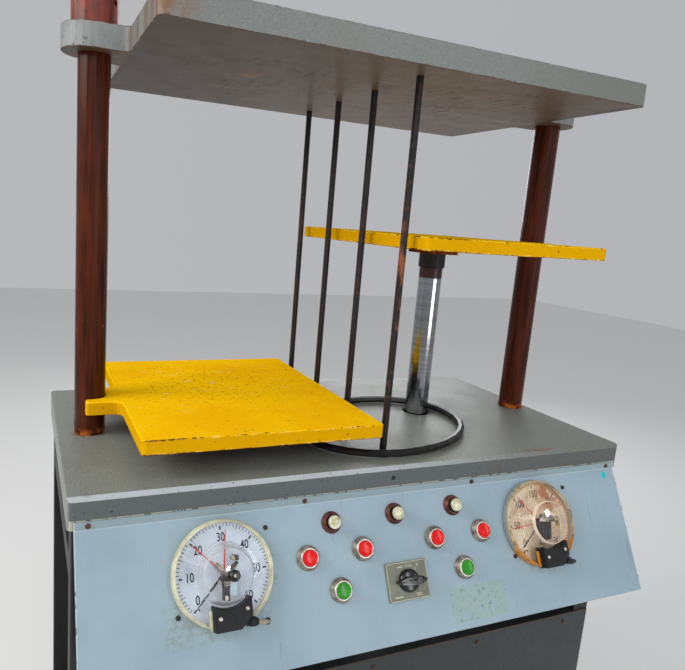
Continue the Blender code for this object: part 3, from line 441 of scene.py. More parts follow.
def column_paint(foot):
    """Dark red-brown varnish over the column, browned and chipped at its foot."""
    f = Finish("column_paint", 0.2, specular=0.14)
    run = f.stretched((1, 1, 0.07))
    streak = f.noise(70, 5, 0.65, coord=run)
    large = f.noise(6, 4, 0.6, coord=f.stretched((1, 1, 0.5)))
    f.two_tone((80, 33, 13), (46, 19, 10), f.step(streak, 0.4, 0.66))
    f.lay((98, 46, 24), f.step(large, 0.52, 0.72), 0.6)
    freckle = f.patches(0.63, 0.72, 180, 3, 0.6)
    f.lay((36, 18, 15), freckle, 0.7)
    scuff = f.both(f.patches(0.64, 0.7, 38, 5, 0.7), f.patches(0.5, 0.6, 8, 2))
    f.lay((150, 92, 62), scuff, 0.6)
    z = f.axes()[2]
    low = f.both(f.step(z, foot + 0.016, foot + 0.003), f.patches(0.47, 0.56, 48, 5, 0.65))
    f.lay((176, 92, 36), low, 0.85)
    rough = f.level(0.16, 0.36, f.noise(30, 4, 0.6, coord=run))
    height = f.sum("ADD", f.both(streak, 0.4), f.both(scuff, -0.8))
    return f.finish(rough, height, 0.0003)


def nut_paint():
    f = Finish("nut_red", 0.38, specular=0.4)
    run = f.stretched((1, 1, 0.25))
    streak = f.noise(60, 5, 0.65, coord=run)
    f.two_tone((128, 48, 26), (84, 30, 20), f.step(streak, 0.42, 0.64))
    f.lay((176, 92, 48), f.patches(0.56, 0.7, 34, 5, 0.7, coord=run), 0.75)
    f.lay((48, 24, 18), f.patches(0.6, 0.7, 120, 3), 0.7)
    return f.finish(f.level(0.28, 0.6, f.noise(40, 4)), streak, 0.0004)


def rod_steel():
    f = Finish("rod_steel", 0.42, 0.35)
    run = f.stretched((1, 1, 0.12))
    f.two_tone((36, 29, 28), (19, 17, 18), f.patches(0.4, 0.65, 50, 4, 0.6, coord=run))
    _, y, z = f.axes()
    patch = f.both(f.patches(0.5, 0.6, 24, 5, 0.7, coord=f.stretched((1, 1, 0.4))),
                   f.step(z, 0.98, 1.1), f.step(z, 1.34, 1.24))
    near = f.step(y, -0.1, -0.16)
    f.lay((142, 80, 42), patch, f.level(0.08, 0.9, near))
    f.lay((92, 54, 36), f.patches(0.56, 0.66, 90, 4), f.level(0.2, 0.6, near))
    return f.finish(f.level(0.32, 0.62, f.noise(60, 4)), f.noise(150, 3), 0.0003)


def yellow_paint(name, low, high, corner):
    """Thick yellow enamel, scuffed on top and chipped to rust near one front corner, with painted
    shade on its sides and underside and painted highlights along its edges.
    """
    f = Finish(name, 0.5, specular=0)
    large = f.noise(6, 4, 0.6)
    f.two_tone((255, 200, 12), (250, 188, 10), f.step(large, 0.42, 0.66))
    fine = f.noise(420, 2, 0.6)
    f.lay((216, 150, 6), f.step(fine, 0.55, 0.72), 0.4)
    z = f.axes()[2]
    under = f.step(z, low.z + 0.0008, low.z + 0.0002)
    top = f.step(z, high.z - 0.0006, high.z - 0.0002)
    # Painted shade: the sides darker than the top
    side = f.both(f.step(z, high.z - 0.0014, high.z - 0.002), f.step(under, 1, 0))
    f.lay((206, 150, 6), side, 0.7)
    smear = f.noise(7, 5, 0.7, 0.5)
    f.lay((196, 146, 30), top, f.step(smear, 0.6, 0.76), 0.5)
    middle = f.spot(None, (low.x + high.x) / 2, (low.y + high.y) / 2 + 0.06, 0.03, 0.24)
    specks = f.both(f.patches(0.612, 0.64, 190, 3, 0.62, coord=f.stretched((0.5, 1, 1))),
                    f.level(0.1, 1, middle))
    f.lay((106, 66, 14), specks, 0.9)
    dots = f.patches(0.71, 0.73, 120, 2, 0.6)
    f.lay((84, 50, 18), dots)
    scuff = f.noise(46, 5, 0.75, coord=f.stretched((0.4, 1, 1)))
    pale = f.both(f.step(scuff, 0.605, 0.66), top, f.level(0.06, 1, middle))
    f.lay((232, 206, 146), pale, 0.75)
    # Painted shade underneath, in two mottled browns
    underside_shade = f.over((150, 78, 22), (92, 42, 18), f.patches(0.4, 0.64, 30, 5, 0.7))
    f.lay(underside_shade, under)
    edge = f.edge(low, high)
    # Pale along the edges: a painted highlight, with some rubbed paint
    edge_wear_and_highlight = f.both(f.step(edge, 0.0038, 0.0012), f.patches(0.5, 0.6, 70, 4, 0.6))
    f.lay((252, 214, 100), edge_wear_and_highlight, 0.6)
    near = f.spot(None, corner[0], corner[1], 0.03, 0.1)
    ragged = f.sum("MULTIPLY_ADD", f.noise(120, 6, 0.75), -0.011, edge)
    ragged = f.sum("MULTIPLY_ADD", near, -0.0014, ragged)
    bare = f.both(f.step(ragged, -0.0047, -0.0056), f.patches(0.4, 0.5, 26, 3, 0.6))
    f.lay((112, 62, 26), bare)
    rough = f.level(0.38, 0.6, f.noise(18, 4, 0.6))
    return f.finish(rough, f.sum("ADD", f.both(fine, 0.4), f.both(bare, -2.2)), 0.0003)


def ram_chrome(top):
    """Ground chrome, very faintly ringed, with a dark red band of old paint under the collar."""
    f = Finish("ram_chrome", 0.14, 1)
    rings = f.noise(30, 3, 0.6, coord=f.stretched((0.05, 0.05, 6)))
    f.two_tone((158, 161, 166), (138, 141, 146), f.step(rings, 0.4, 0.68))
    z = f.axes()[2]
    oil = f.both(f.patches(0.52, 0.68, 12, 4, 0.6, coord=f.stretched((1, 1, 0.3))), 0.35)
    f.lay((140, 118, 84), oil)
    band = f.step(z, top - 0.056, top - 0.051)
    f.lay((58, 22, 14), band)
    rough = f.either(f.level(0.1, 0.18, rings), f.both(band, 0.38))
    return f.finish(rough, rings, 0.00002, f.level(1, 0.1, band))


def plain_metal(name, base, dark, roughness, metallic=0.8, grain=90, depth=0.0002, rust=None):
    f = Finish(name, roughness, metallic)
    spread = f.noise(grain, 4, 0.65)
    f.two_tone(base, dark, f.step(spread, 0.42, 0.66))
    if rust is not None:
        f.lay(rust, f.patches(0.56, 0.66, grain * 0.6, 5, 0.7))
    return f.finish(f.level(roughness * 0.8, min(1, roughness * 1.35), spread), spread, depth)


def plain_paint(name, base, dark, light, roughness, low=None, high=None):
    """Speckled paint with grime in broad patches and, on a box shape, chipped edges."""
    f = Finish(name, roughness)
    fine = speckle(f, base, dark, light, 300, 0.7)
    f.lay(dark, f.patches(0.5, 0.7, 8, 5, 0.65), 0.6)
    height = fine
    if low is not None:
        gone = chips(f, f.edge(low, high), 0.0018, 60)
        f.lay((84, 56, 40), gone)
        height = f.sum("ADD", fine, f.both(gone, -2))
    return f.finish(f.level(roughness * 0.85, min(1, roughness * 1.2), f.noise(25, 4)),
                    height, 0.0003)


def rubber(name, base, dark, roughness):
    f = Finish(name, roughness, 0, 0.4)
    dust = f.noise(40, 5, 0.65)
    f.two_tone(base, dark, f.step(dust, 0.4, 0.64))
    f.lay((110, 98, 86), f.patches(0.62, 0.72, 160, 3), 0.35)
    return f.finish(f.level(roughness * 0.8, roughness * 1.25, dust), f.noise(260, 3), 0.00025)


def panel_paint():
    """Pale blue sheet, oily round the gauges and scratched, with what an old label left, painted
    shade on the flange and a painted highlight along the bend.
    """
    f = Finish("panel_paint", 0.4, specular=0.3)
    flat = f.placed(on_panel(0, 0))
    fine = f.noise(500, 2, 0.6)
    large = f.noise(5, 4, 0.6)
    f.two_tone((152, 174, 186), (142, 164, 177), f.step(large, 0.4, 0.66))
    f.lay((164, 184, 193), f.step(fine, 0.55, 0.72), 0.4)
    px, py, pz = f.axes(flat)
    for side, (x, s) in GAUGES.items():
        halo = f.spot(flat, (x + 4) * MM, -(s + 10) * MM, 0.076, 0.018)
        stain = f.both(halo, f.patches(0.46, 0.64, 90, 5, 0.7))
        f.lay((112, 116, 98), stain, 0.5 if side == "left" else 0.3)
        drip = f.field(flat, (x - 88) * MM, (x - 24) * MM, -(s + 90) * MM, -(s + 40) * MM, 0.012)
        grime = f.both(drip, f.patches(0.4, 0.62, 110, 5, 0.7),
                       0.5 if side == "left" else 0.12)
        f.lay((132, 140, 124), grime)
    drag = f.noise(30, 4, 0.7, coord=f.stretched((1, 0.06, 1), flat))
    right = f.step(px, 0.36, 0.44)
    f.lay((126, 146, 154), f.step(drag, 0.6, 0.63), right, 0.5)
    thin = f.noise(90, 3, 0.6, 0.6, coord=f.stretched((1, 0.1, 1), flat))
    f.lay((126, 146, 156), f.step(thin, 0.705, 0.715), 0.6)
    # What is left of a label: a torn patch, glue and blue flecks
    label = f.field(flat, 0.082, 0.198, -0.226, -0.172, 0.003)
    torn = f.both(label, f.patches(0.34, 0.44, 44, 4, 0.6, coord=flat))
    f.lay((150, 172, 166), torn, 0.8)
    glue = f.both(label, f.patches(0.57, 0.62, 90, 4, 0.7, 0.8, coord=flat))
    f.lay((100, 138, 126), glue, 0.75)
    flecks = f.both(label, f.patches(0.655, 0.675, 95, 2, 0.5,
                                     coord=f.stretched((1, 1.2, 1), flat)))
    f.lay((44, 130, 160), flecks, 0.75)
    dots = f.patches(0.735, 0.75, 170, 3, 0.6, coord=flat)
    f.lay((78, 72, 66), dots, 0.9)
    # Painted shade on the flange above the bend, a painted highlight along the bend, the ends and
    # the back
    # Painted shade: the flange above the bend darker than the face
    flange_shade = f.step(py, 0, 0.001)
    f.lay((146, 164, 171), flange_shade, 0.9)
    # Painted highlight along the bend
    bend_highlight = f.both(f.step(py, -0.0012, -0.0004), f.step(py, 0.0008, 0))
    f.lay((190, 204, 208), bend_highlight, 0.6)
    end = f.step(f.sum("ABSOLUTE", f.sum("SUBTRACT", px, -0.0023)), 0.5312, 0.5328)
    chip = f.both(end, f.patches(0.52, 0.58, 50, 4, 0.65))
    f.lay((200, 212, 216), end, 0.7)
    f.lay((92, 70, 56), chip, 0.75)
    back = f.step(pz, -0.0022, -0.0028)
    f.lay((52, 52, 50), back, f.step(py, 0.004, 0))
    rough = f.level(0.32, 0.5, f.noise(16, 4, 0.6))
    return f.finish(rough, f.sum("ADD", fine, f.both(chip, -2)), 0.0002)


def clear_plastic(name, place, edge_colour, edge_strength):
    """Clear gauge cover, milky along its dome's edges, which also stands in as painted highlight
    lines there. Shadow rays pass, so the dial stays lit.
    """
    f = Finish(name, 0.03, coat=0.5)
    f.shader.inputs["Coat Roughness"].default_value = 0.03
    f.shader.inputs["Transmission Weight"].default_value = 1
    f.shader.inputs["IOR"].default_value = 1.12
    f.shader.inputs["Base Color"].default_value = (0.97, 0.98, 0.98, 1)
    flat = f.placed(place)
    x, y, _ = f.axes(flat)
    r = f.length(x, y)
    # Milky haze on the dome's fillets and wall, also a painted highlight along them
    top = f.both(f.step(r, 0.0364, 0.037), f.step(r, 0.0386, 0.038))
    foot = f.both(f.step(r, 0.0453, 0.0457), f.step(r, 0.0466, 0.0462))
    wall = f.both(f.step(r, 0.038, 0.039), f.step(r, 0.0452, 0.0446))
    milk_and_highlight = f.either(f.either(top, f.both(foot, 0.5)), f.both(wall, 0.16))
    tree = f.tree
    haze_and_highlight = tree.nodes.new("ShaderNodeBsdfDiffuse")
    f.put(haze_and_highlight.inputs["Color"], edge_colour)
    body = tree.nodes.new("ShaderNodeMixShader")
    f.put(body.inputs["Fac"], f.both(milk_and_highlight, edge_strength))
    tree.links.new(f.shader.outputs["BSDF"], body.inputs[1])
    tree.links.new(haze_and_highlight.outputs["BSDF"], body.inputs[2])
    ray = tree.nodes.new("ShaderNodeLightPath")
    clear = tree.nodes.new("ShaderNodeBsdfTransparent")
    clear.inputs["Color"].default_value = (0.93, 0.93, 0.92, 1)
    mix = tree.nodes.new("ShaderNodeMixShader")
    tree.links.new(ray.outputs["Is Shadow Ray"], mix.inputs["Fac"])
    tree.links.new(body.outputs["Shader"], mix.inputs[1])
    tree.links.new(clear.outputs["BSDF"], mix.inputs[2])
    tree.links.new(mix.outputs["Shader"], tree.nodes["Material Output"].inputs["Surface"])
    return f.material


def lamp_glass():
    """Milky glass of an indicator, ringed like its lens."""
    f = Finish("lamp_lens", 0.16, specular=0.7)
    tone = f.noise(120, 4, 0.6)
    f.two_tone((190, 184, 146), (228, 226, 200), f.step(tone, 0.42, 0.6))
    f.lay((120, 110, 84), f.patches(0.58, 0.66, 260, 3), 0.6)
    return f.finish(f.level(0.12, 0.34, tone), f.noise(300, 3), 0.00012)


def dial_white():
    f = Finish("dial_white", 0.5, specular=0.2)
    tone = f.noise(30, 4, 0.6)
    f.two_tone((184, 192, 205), (170, 178, 191), f.step(tone, 0.4, 0.7))
    f.lay((176, 170, 150), f.patches(0.64, 0.76, 70, 5, 0.7), 0.5)
    return f.finish(f.level(0.42, 0.6, tone), f.noise(300, 2), 0.00006)


def dial_stained(place):
    """Dial browned by oil, darkest at its upper right."""
    f = Finish("dial_stained", 0.5)
    flat = f.placed(place)
    tone = f.noise(28, 5, 0.7, coord=flat)
    f.two_tone((206, 186, 160), (168, 140, 112), f.step(tone, 0.38, 0.66))
    dark = f.spot(flat, 0.042, 0.05, 0.02, 0.03)
    f.lay((150, 86, 34), dark, f.patches(0.34, 0.56, 60, 5, 0.7, coord=flat))
    round_edge = f.spot(flat, 0, 0, 0.066, 0.009)
    face = f.colour
    f.colour = (168, 112, 52)
    f.lay(face, f.either(round_edge, f.step(tone, 0.48, 0.64)))
    low = f.spot(flat, -0.008, -0.058, 0.012, 0.032)
    f.lay((140, 118, 92), low, 0.8)
    speck = f.patches(0.6, 0.68, 190, 4, 0.7, coord=flat)
    f.lay((104, 72, 48), speck, 0.55)
    return f.finish(f.level(0.4, 0.65, tone), tone, 0.00008)


def rim_cream():
    f = Finish("rim_cream", 0.42)
    tone = f.noise(36, 5, 0.65)
    f.two_tone((218, 214, 184), (188, 184, 156), f.step(tone, 0.42, 0.68))
    f.lay((112, 104, 84), f.patches(0.6, 0.7, 120, 4, 0.7), 0.6)
    return f.finish(f.level(0.34, 0.58, tone), f.noise(240, 3), 0.0001)


def rim_amber(place):
    """Rim of the oily gauge: amber below, grey-cream above, its wall greyed by panel paint."""
    f = Finish("rim_amber", 0.34, coat=0.3)
    flat = f.placed(place)
    _, y, z = f.axes(flat)
    tone = f.noise(36, 5, 0.65)
    f.two_tone((196, 178, 138), (150, 134, 104), f.step(tone, 0.42, 0.68))
    f.lay((200, 126, 32), f.step(y, -0.005, -0.05))
    f.lay((96, 60, 26), f.patches(0.52, 0.64, 80, 4, 0.7), 0.7)
    wall = f.both(f.step(z, 0.0118, 0.0092), f.step(y, -0.048, -0.03))
    f.lay((132, 142, 142), wall, 0.9)
    seam = f.both(f.step(z, 0.0016, 0.0008), 0.7)
    f.lay((84, 76, 66), seam)
    return f.finish(f.level(0.26, 0.5, tone), f.noise(240, 3), 0.0001)


def moulded(name, base, light, roughness=0.4, specular=0.5, scale=260, depth=0.00008):
    """Moulded plastic with a fine grain and rubbed, slightly paler patches."""
    f = Finish(name, roughness, 0, specular)
    grain = f.noise(scale, 3, 0.6)
    f.two_tone(base, light, f.patches(0.46, 0.66, 70, 4, 0.65), 0.6)
    return f.finish(f.level(roughness * 0.8, min(1, roughness * 1.4), grain), grain, depth)


def knurl_metal():
    """Grey-beige cast rim of a push button, dirty in its grooves."""
    f = Finish("bezel_metal", 0.42, 0.35)
    tone = f.noise(90, 5, 0.7)
    f.two_tone((160, 154, 142), (108, 98, 88), f.step(tone, 0.4, 0.62))
    f.lay((84, 72, 64), f.patches(0.56, 0.66, 220, 4), 0.6)
    return f.finish(f.level(0.34, 0.6, tone), f.noise(300, 3), 0.00012)


# Mesh tools for the new pieces, in millimetres until a piece is finished
def turned(profile, closed=False, steps=48):
    """Turned shape about Z from a profile of (radius, height)."""
    bm = bmesh.new()
    ring = [bm.verts.new((r, 0, z)) for r, z in profile]
    pairs = list(zip(ring, ring[1:]))
    if closed:
        pairs.append((ring[-1], ring[0]))
    edges = [bm.edges.new(pair) for pair in pairs]
    bmesh.ops.spin(bm, geom=ring + edges, cent=(0, 0, 0), axis=(0, 0, 1), angle=2 * math.pi,
                   steps=steps, use_merge=True)
    bmesh.ops.remove_doubles(bm, verts=bm.verts, dist=1e-5)
    bmesh.ops.recalc_face_normals(bm, faces=bm.faces)
    return bm


def soften(bm, width, segments=2):
    """Rounds every edge that is sharper than 30 degrees."""
    sharp = [e for e in bm.edges
             if len(e.link_faces) == 2 and e.calc_face_angle(0) > math.radians(30)]
    bmesh.ops.bevel(bm, geom=sharp, offset=width, offset_type="OFFSET", segments=segments,
                    profile=0.5, affect="EDGES", clamp_overlap=True, material=-1)
    return bm


def bar(x0, x1, y0, y1, z0, z1, bevel=0, segments=2):
    bm = bmesh.new()
    bmesh.ops.create_cube(bm, size=1)
    bmesh.ops.scale(bm, vec=(x1 - x0, y1 - y0, z1 - z0), verts=bm.verts)
    bmesh.ops.translate(bm, vec=((x0 + x1) / 2, (y0 + y1) / 2, (z0 + z1) / 2), verts=bm.verts)
    return soften(bm, bevel, segments) if bevel else bm


def flat_shape(points, height):
    """Plate of a given outline, pulled up to its height."""
    bm = bmesh.new()
    face = bm.faces.new([bm.verts.new((x, y, 0)) for x, y in points])
    out = bmesh.ops.extrude_face_region(bm, geom=[face])
    top = [v for v in out["geom"] if isinstance(v, bmesh.types.BMVert)]
    bmesh.ops.translate(bm, vec=(0, 0, height), verts=top)
    bmesh.ops.recalc_face_normals(bm, faces=bm.faces)
    return bm


def moved(bm, place):
    bmesh.ops.transform(bm, matrix=place, verts=bm.verts)
    return bm


def shifted(bm, x, y, z):
    return moved(bm, Matrix.Translation((x, y, z)))


def spun(bm, degrees):
    return moved(bm, Matrix.Rotation(math.radians(degrees), 4, "Z"))


def joined(*parts):
    out = bmesh.new()
    for part in parts:
        mesh = bpy.data.meshes.new("part")
        part.to_mesh(mesh)
        part.free()
        out.from_mesh(mesh)
        bpy.data.meshes.remove(mesh)
    return out


def letters(text, height, squeeze):
    """Raised plain numbers for a dial, centred on the origin."""
    curve = bpy.data.curves.new("numbers", "FONT")
    curve.body = text
    curve.size = height * 1.38
    curve.offset = 0.28
    curve.align_x, curve.align_y = "CENTER", "CENTER"
    curve.extrude = 0.05
    ob = bpy.data.objects.new("numbers", curve)
    bpy.context.scene.collection.objects.link(ob)
    graph = bpy.context.evaluated_depsgraph_get()
    mesh = bpy.data.meshes.new_from_object(ob.evaluated_get(graph))
    bm = bmesh.new()
    bm.from_mesh(mesh)
    bpy.data.objects.remove(ob)
    bpy.data.curves.remove(curve)
    bpy.data.meshes.remove(mesh)
    bmesh.ops.scale(bm, vec=(squeeze, 1, 1), verts=bm.verts)
    return bm


def piece(name, bm, material, body, place, smooth, slot, stands_for=None):
    """Finishes a piece: metres, its place in its mesh, its finish and the body it rides on."""
    bmesh.ops.transform(bm, matrix=place @ Matrix.Scale(MM, 4), verts=bm.verts)
    mesh = bpy.data.meshes.new(name)
    bm.to_mesh(mesh)
    bm.free()
    ob = bpy.data.objects.new(name, mesh)
    bpy.context.scene.collection.objects.link(ob)
    mesh.materials.append(material)
    mesh.shade_smooth()
    mesh.set_sharp_from_angle(angle=math.radians(smooth))
    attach(ob, body)
    if stands_for:
        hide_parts(stands_for)


def dress(material, *nodes):
    for node in nodes:
        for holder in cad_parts[node].material_slots:
            holder.material = material


def screw_head(radius, height, slot_width=0.9):
    """Domed head with a raised rib for its slot, standing on Z 0."""
    head = turned([(0, 0), (radius, 0), (radius, height * 0.35), (radius * 0.86, height * 0.8),
                   (radius * 0.5, height), (0, height)], steps=20)
    return joined(head, bar(-radius * 0.8, radius * 0.8, -slot_width / 2, slot_width / 2,
                            height * 0.55, height + 0.2))


# Gauges: every piece is drawn on the gauge's own middle, the panel's face at height 0
DIAL_FACE = 5
SCALE_START, SCALE_SWEEP, SCALE_MINOR = 135, 270, 10
LEAD_TURN = -12


def gauge_piece(name, side, bm, material, slot="gauge_case", smooth=40, **more):
    piece(name + "_" + side, bm, material, "frame", on_panel(*GAUGES[side]), smooth, slot, **more)


def dial_marks(side, values, ink):
    """Scale lines and numbers of a dial, lying on its face."""
    parts = []
    steps = SCALE_MINOR * (len(values) - 1)
    for i in range(steps + 1):
        major, half = i % SCALE_MINOR == 0, i % (SCALE_MINOR // 2) == 0
        long, wide, high = (6, 2.5, 69.6) if major else (7 if half else 4.6, 1, 73)
        parts.append(spun(bar(-wide / 2, wide / 2, high - long, high, 0, 0.1),
                          SCALE_START - SCALE_SWEEP * i / steps))
    for i, value in enumerate(values):
        a = math.radians(SCALE_START - SCALE_SWEEP * i / (len(values) - 1))
        r = 52.5 if len(value) > 1 else 55
        rise = 6 if value == "0" else 0
        parts.append(shifted(letters(value, 13.5, 0.74), -r * math.sin(a) - rise * 0.6,
                             r * math.cos(a) + rise, 0.05))
    marks = shifted(joined(*parts), 0, 0, DIAL_FACE + 0.02)
    gauge_piece("dial_marks", side, marks, ink, smooth=38)


def box_outline(grow=0):
    """Contact box from above: two straight sides, a cut corner and an arc round the dome."""
    left, right, low, arc = -25 - grow, 33 + grow, -78.5 - grow, 48 - grow
    a1, a0 = math.asin(right / arc), math.asin(left / arc)
    pts = [(left, low), (14, low), (right, -61)]
    for i in range(13):
        a = a1 + (a0 - a1) * i / 12
        pts.append((arc * math.sin(a), -arc * math.cos(a)))
    return pts


def make_gauge(side, dial, rim, paints):
    shell = turned([(0, -42), (71, -42), (75, -38), (75, 0.3), (80, 0.3), (80, 2.4), (79.2, 6),
                    (78.9, 11), (78.4, 13.6), (77.5, 15.2), (76.7, 15.8), (76, 15.5),
                    (75.7, 14.4), (75.6, 4.6), (0, 4.6)], steps=96)
    gauge_piece("gauge_rim", side, shell, rim, smooth=50, stands_for="gauge_case_" + side)
    face = turned([(2.2, 4.6), (75.6, 4.6), (75.6, DIAL_FACE), (2.2, DIAL_FACE)], True, 64)
    gauge_piece("dial", side, face, dial)
    lip = turned([(74.1, DIAL_FACE), (75.6, DIAL_FACE), (75.6, 11.9), (74.5, 11.9)], True, 64)
    gauge_piece("dial_lip", side, lip, rim)

    box = soften(flat_shape(box_outline(), 22), 1.4, 3)
    gland = turned([(0, -6), (6.2, -6), (6.2, 3), (7.4, 3.4), (7.4, 4.2), (5.6, 4.8), (5.6, 6),
                    (7.1, 6.6), (7.1, 15.4), (6.4, 16.6), (4.6, 20), (0, 20)], steps=32)
    flats = bmesh.new()
    bmesh.ops.create_cone(flats, cap_ends=True, segments=6, radius1=7.5, radius2=7.5, depth=5.6)
    flats = shifted(soften(flats, 0.5), 0, 0, 10.4)
    lead = spun(moved(joined(gland, flats), Matrix.Rotation(math.pi / 2, 4, "Y")), LEAD_TURN)
    foot = bar(-20, 14, -77.5, -71.5, 0.4, 12, 0.8)
    lid = flat_shape(box_outline(-1.6), 0.9)
    body = joined(shifted(box, 0, 0, 11), shifted(lid, 0, 0, 32.4),
                  shifted(lead, 23.5, -69.75, 21), foot)
    gauge_piece("terminal_box", side, body, paints["box"])
    gauge_piece("box_ledge", side, bar(-29.5, -25.3, -76, -48, 14.9, 19.5, 1), rim)
    screws = [shifted(spun(screw_head(3.2, 1.7, 0.8), 34.3775), x, y, 33)
              for x, y in ((-17.5, -59.5), (24.5, -51))]
    gauge_piece("box_screws", side, joined(*screws), paints["screw"])


def make_window(side, paints):
    """Clear cover with its raised dome, cut away round the terminal box."""
    wall = turned([(0, 36.6), (35, 36.6), (35.6, 36.55), (37, 36), (43.4, 14.8),
                   (44, 12.7), (44.6, 12.6), (75.6, 12.6), (75.6, 14.2), (47, 14.2),
                   (46.4, 14.25), (45.2, 15.2), (39, 35.6), (37.6, 37.8), (35.8, 38.45),
                   (35.2, 38.5), (0, 38.5)], steps=96)
    cut_y = -47
    bmesh.ops.bisect_plane(wall, geom=wall.verts[:] + wall.edges[:] + wall.faces[:],
                           plane_co=(0, cut_y, 0), plane_no=(0, -1, 0), dist=1e-5)
    middles = [(f, f.calc_center_median()) for f in wall.faces]
    gone = [f for f, middle in middles if middle.y < cut_y and -25.5 < middle.x < 33.5]
    bmesh.ops.delete(wall, geom=gone, context="FACES")
    gauge_piece("dome", side, wall, paints["glass_" + side], "gauge_glass",
                stands_for="gauge_window_" + side)
    if side == "left":
        knob = turned([(0, 37.5), (8.5, 37.5), (8.5, 42.4), (7.9, 44), (6.6, 44.8), (3.4, 44.8),
                       (3, 43.6), (0, 43.6)], steps=40)
        ring = shifted(turned([(7.4, 0), (8.5, 0), (8.5, 0.9), (7.4, 0.9)], True, 40), 0, 0, 39.2)
        gauge_piece("dome_knob", side, shifted(joined(knob, ring), 7, -3, 0), paints["black"],
                    "gauge_glass")
        pin = turned([(0, 43.6), (2.5, 43.6), (2.5, 44.9), (1.8, 45.4), (0, 45.4)], steps=20)
        gauge_piece("dome_pin", side, shifted(pin, 7, -3, 0), paints["bright"], "gauge_glass")
    else:
        plug = turned([(0, 38), (5.2, 38), (5.2, 39.3), (4.2, 40), (2.2, 39.6), (0, 39.4)],
                      steps=32)
        gauge_piece("dome_plug", side, shifted(plug, 14, -3, 0), paints["brass"],
                    "gauge_glass")


def make_contacts(side, paints):
    """Contact work under the dome, up from the box: the whole of it leans as it was fitted."""
    lean = 0 if side == "left" else -14

    def fitted(name, parts, material):
        gauge_piece(name, side, spun(joined(*parts), lean), paints[material], "gauge_glass")

    def rounded(points, height, width=0.7):
        return soften(flat_shape(points, height), width)

    post = turned([(0, 12.3), (3.4, 12.3), (3.4, 15), (6.4, 15.4), (6.4, 18), (4.6, 18.4),
                   (4.6, 30), (0, 30)], steps=24)
    bracket = rounded([(-9, -41), (3.5, -41), (4.5, -24), (7, -12), (6, 3), (-5, 4), (-8.5, -6),
                       (-6.5, -22)], 3.2)
    dark = [post, shifted(bracket, 0, 0, 15)]
    if side == "left":
        fork = rounded([(-6, -5), (4, -8), (12, 4), (20, 13.5), (17, 17), (9, 11.5), (-1, 7),
                        (-7, 2)], 3)
        carrier = soften(flat_shape([(-7, -9), (5, -10), (9, -2), (4, 5), (-6, 4), (-9, -3)],
                                    8), 1.6, 3)
        dark += [bar(-7.6, -5.4, -37, -8, 18, 23.6, 0.7), shifted(fork, 0, 0, 20.2),
                 shifted(carrier, 0, 0, 23.5), bar(14.5, 20.5, 17, 25, 20, 26, 1.2)]
    else:
        blocks = ((-21, -20, 4), (-13.5, -28, 6), (-6, -32, 4), (1.5, -30, 2))
        for i, (start, low, high) in enumerate(blocks):
            dark.append(bar(start, start + 6.6, low, high, 15.5, 28.5 + 1.4 * (i % 2), 1.6, 3))
        coil = []
        for i in range(6):
            loop = turned([(3, 0), (4.2, 0), (4.2, 1.2), (3, 1.2)], True, 24)
            coil.append(shifted(moved(loop, Matrix.Rotation(math.pi / 2, 4, "X")),
                                10.5, -5 - 2.6 * i, 24))
        fitted("contact_coil", coil, "bright")
    fitted("contact_bracket", dark, "arm")
    if side == "left":
        cross = rounded([(-20, 16.5), (-16, 19), (-8, 9.5), (8, 1.5), (10, -4), (4, -5.5),
                         (-11, 2), (-19, 11)], 3.4, 0.9)
        plates = [shifted(cross, 0, 0, 31.6),
                  shifted(turned([(0, 0), (4.4, 0), (4.4, 4.6), (3.6, 5.4), (0, 5.4)], steps=28),
                          12.6, 22, 19)]
        for x, y in ((-12.5, 7.5), (-17, 14.5)):
            rivet = turned([(0, 0), (2.2, 0), (2.2, 1.6), (0, 2.2)], steps=16)
            plates.append(shifted(rivet, x, y, 34.9))
    else:
        cover = rounded([(-24, -2), (-22, 12), (-4, 17), (12, 11), (13, 3), (-2, 1)], 3, 0.9)
        rivet = turned([(0, 0), (2.4, 0), (2.4, 1.4), (0, 1.9)], steps=16)
        plates = [shifted(cover, 0, 0, 31.5), shifted(rivet, -14, 9, 34.4)]
    fitted("contact_plate", plates, "plate_metal")
    foot = turned([(0, 0), (3.9, 0), (3.9, 2.4), (3.2, 3.6), (0, 3.8)], steps=28)
    fitted("contact_screw", [shifted(foot, -3.2, -34, 18.1),
                             shifted(bar(-3.4, 3.4, -0.5, 0.5, 0, 0.3), -3.2, -34, 21.9)],
           "bright")
    turns = []
    for r, turn in ((8.5, 20), (11, 8), (13.5, -6)):
        wire = turned([(r, 0), (r + 0.7, 0), (r + 0.7, 0.7), (r, 0.7)], True, 48)
        bmesh.ops.bisect_plane(wire, geom=wire.verts[:] + wire.edges[:] + wire.faces[:],
                               plane_co=(0, -2, 0), plane_no=(0, 1, 0), clear_outer=True,
                               dist=1e-5)
        bmesh.ops.holes_fill(wire, edges=[e for e in wire.edges if e.is_boundary], sides=0)
        turns.append(spun(wire, turn))
    spring = shifted(spun(joined(*turns), lean), -1, -3, 21)
    gauge_piece("contact_spring", side, spring, paints["bright"], "gauge_glass")
    if side == "left":
        gauge_piece("dial_tag", side, bar(5, 19, -34, -13, 5.1, 5.5, 0.15), paints["tag"])
    stop = turned([(0, 5), (1.3, 5), (1.3, 7), (0, 7.2)], steps=16)
    a = math.radians(SCALE_START + 2.5)
    gauge_piece("stop_pin", side, shifted(stop, -62 * math.sin(a), 62 * math.cos(a), 0),
                paints["black"])


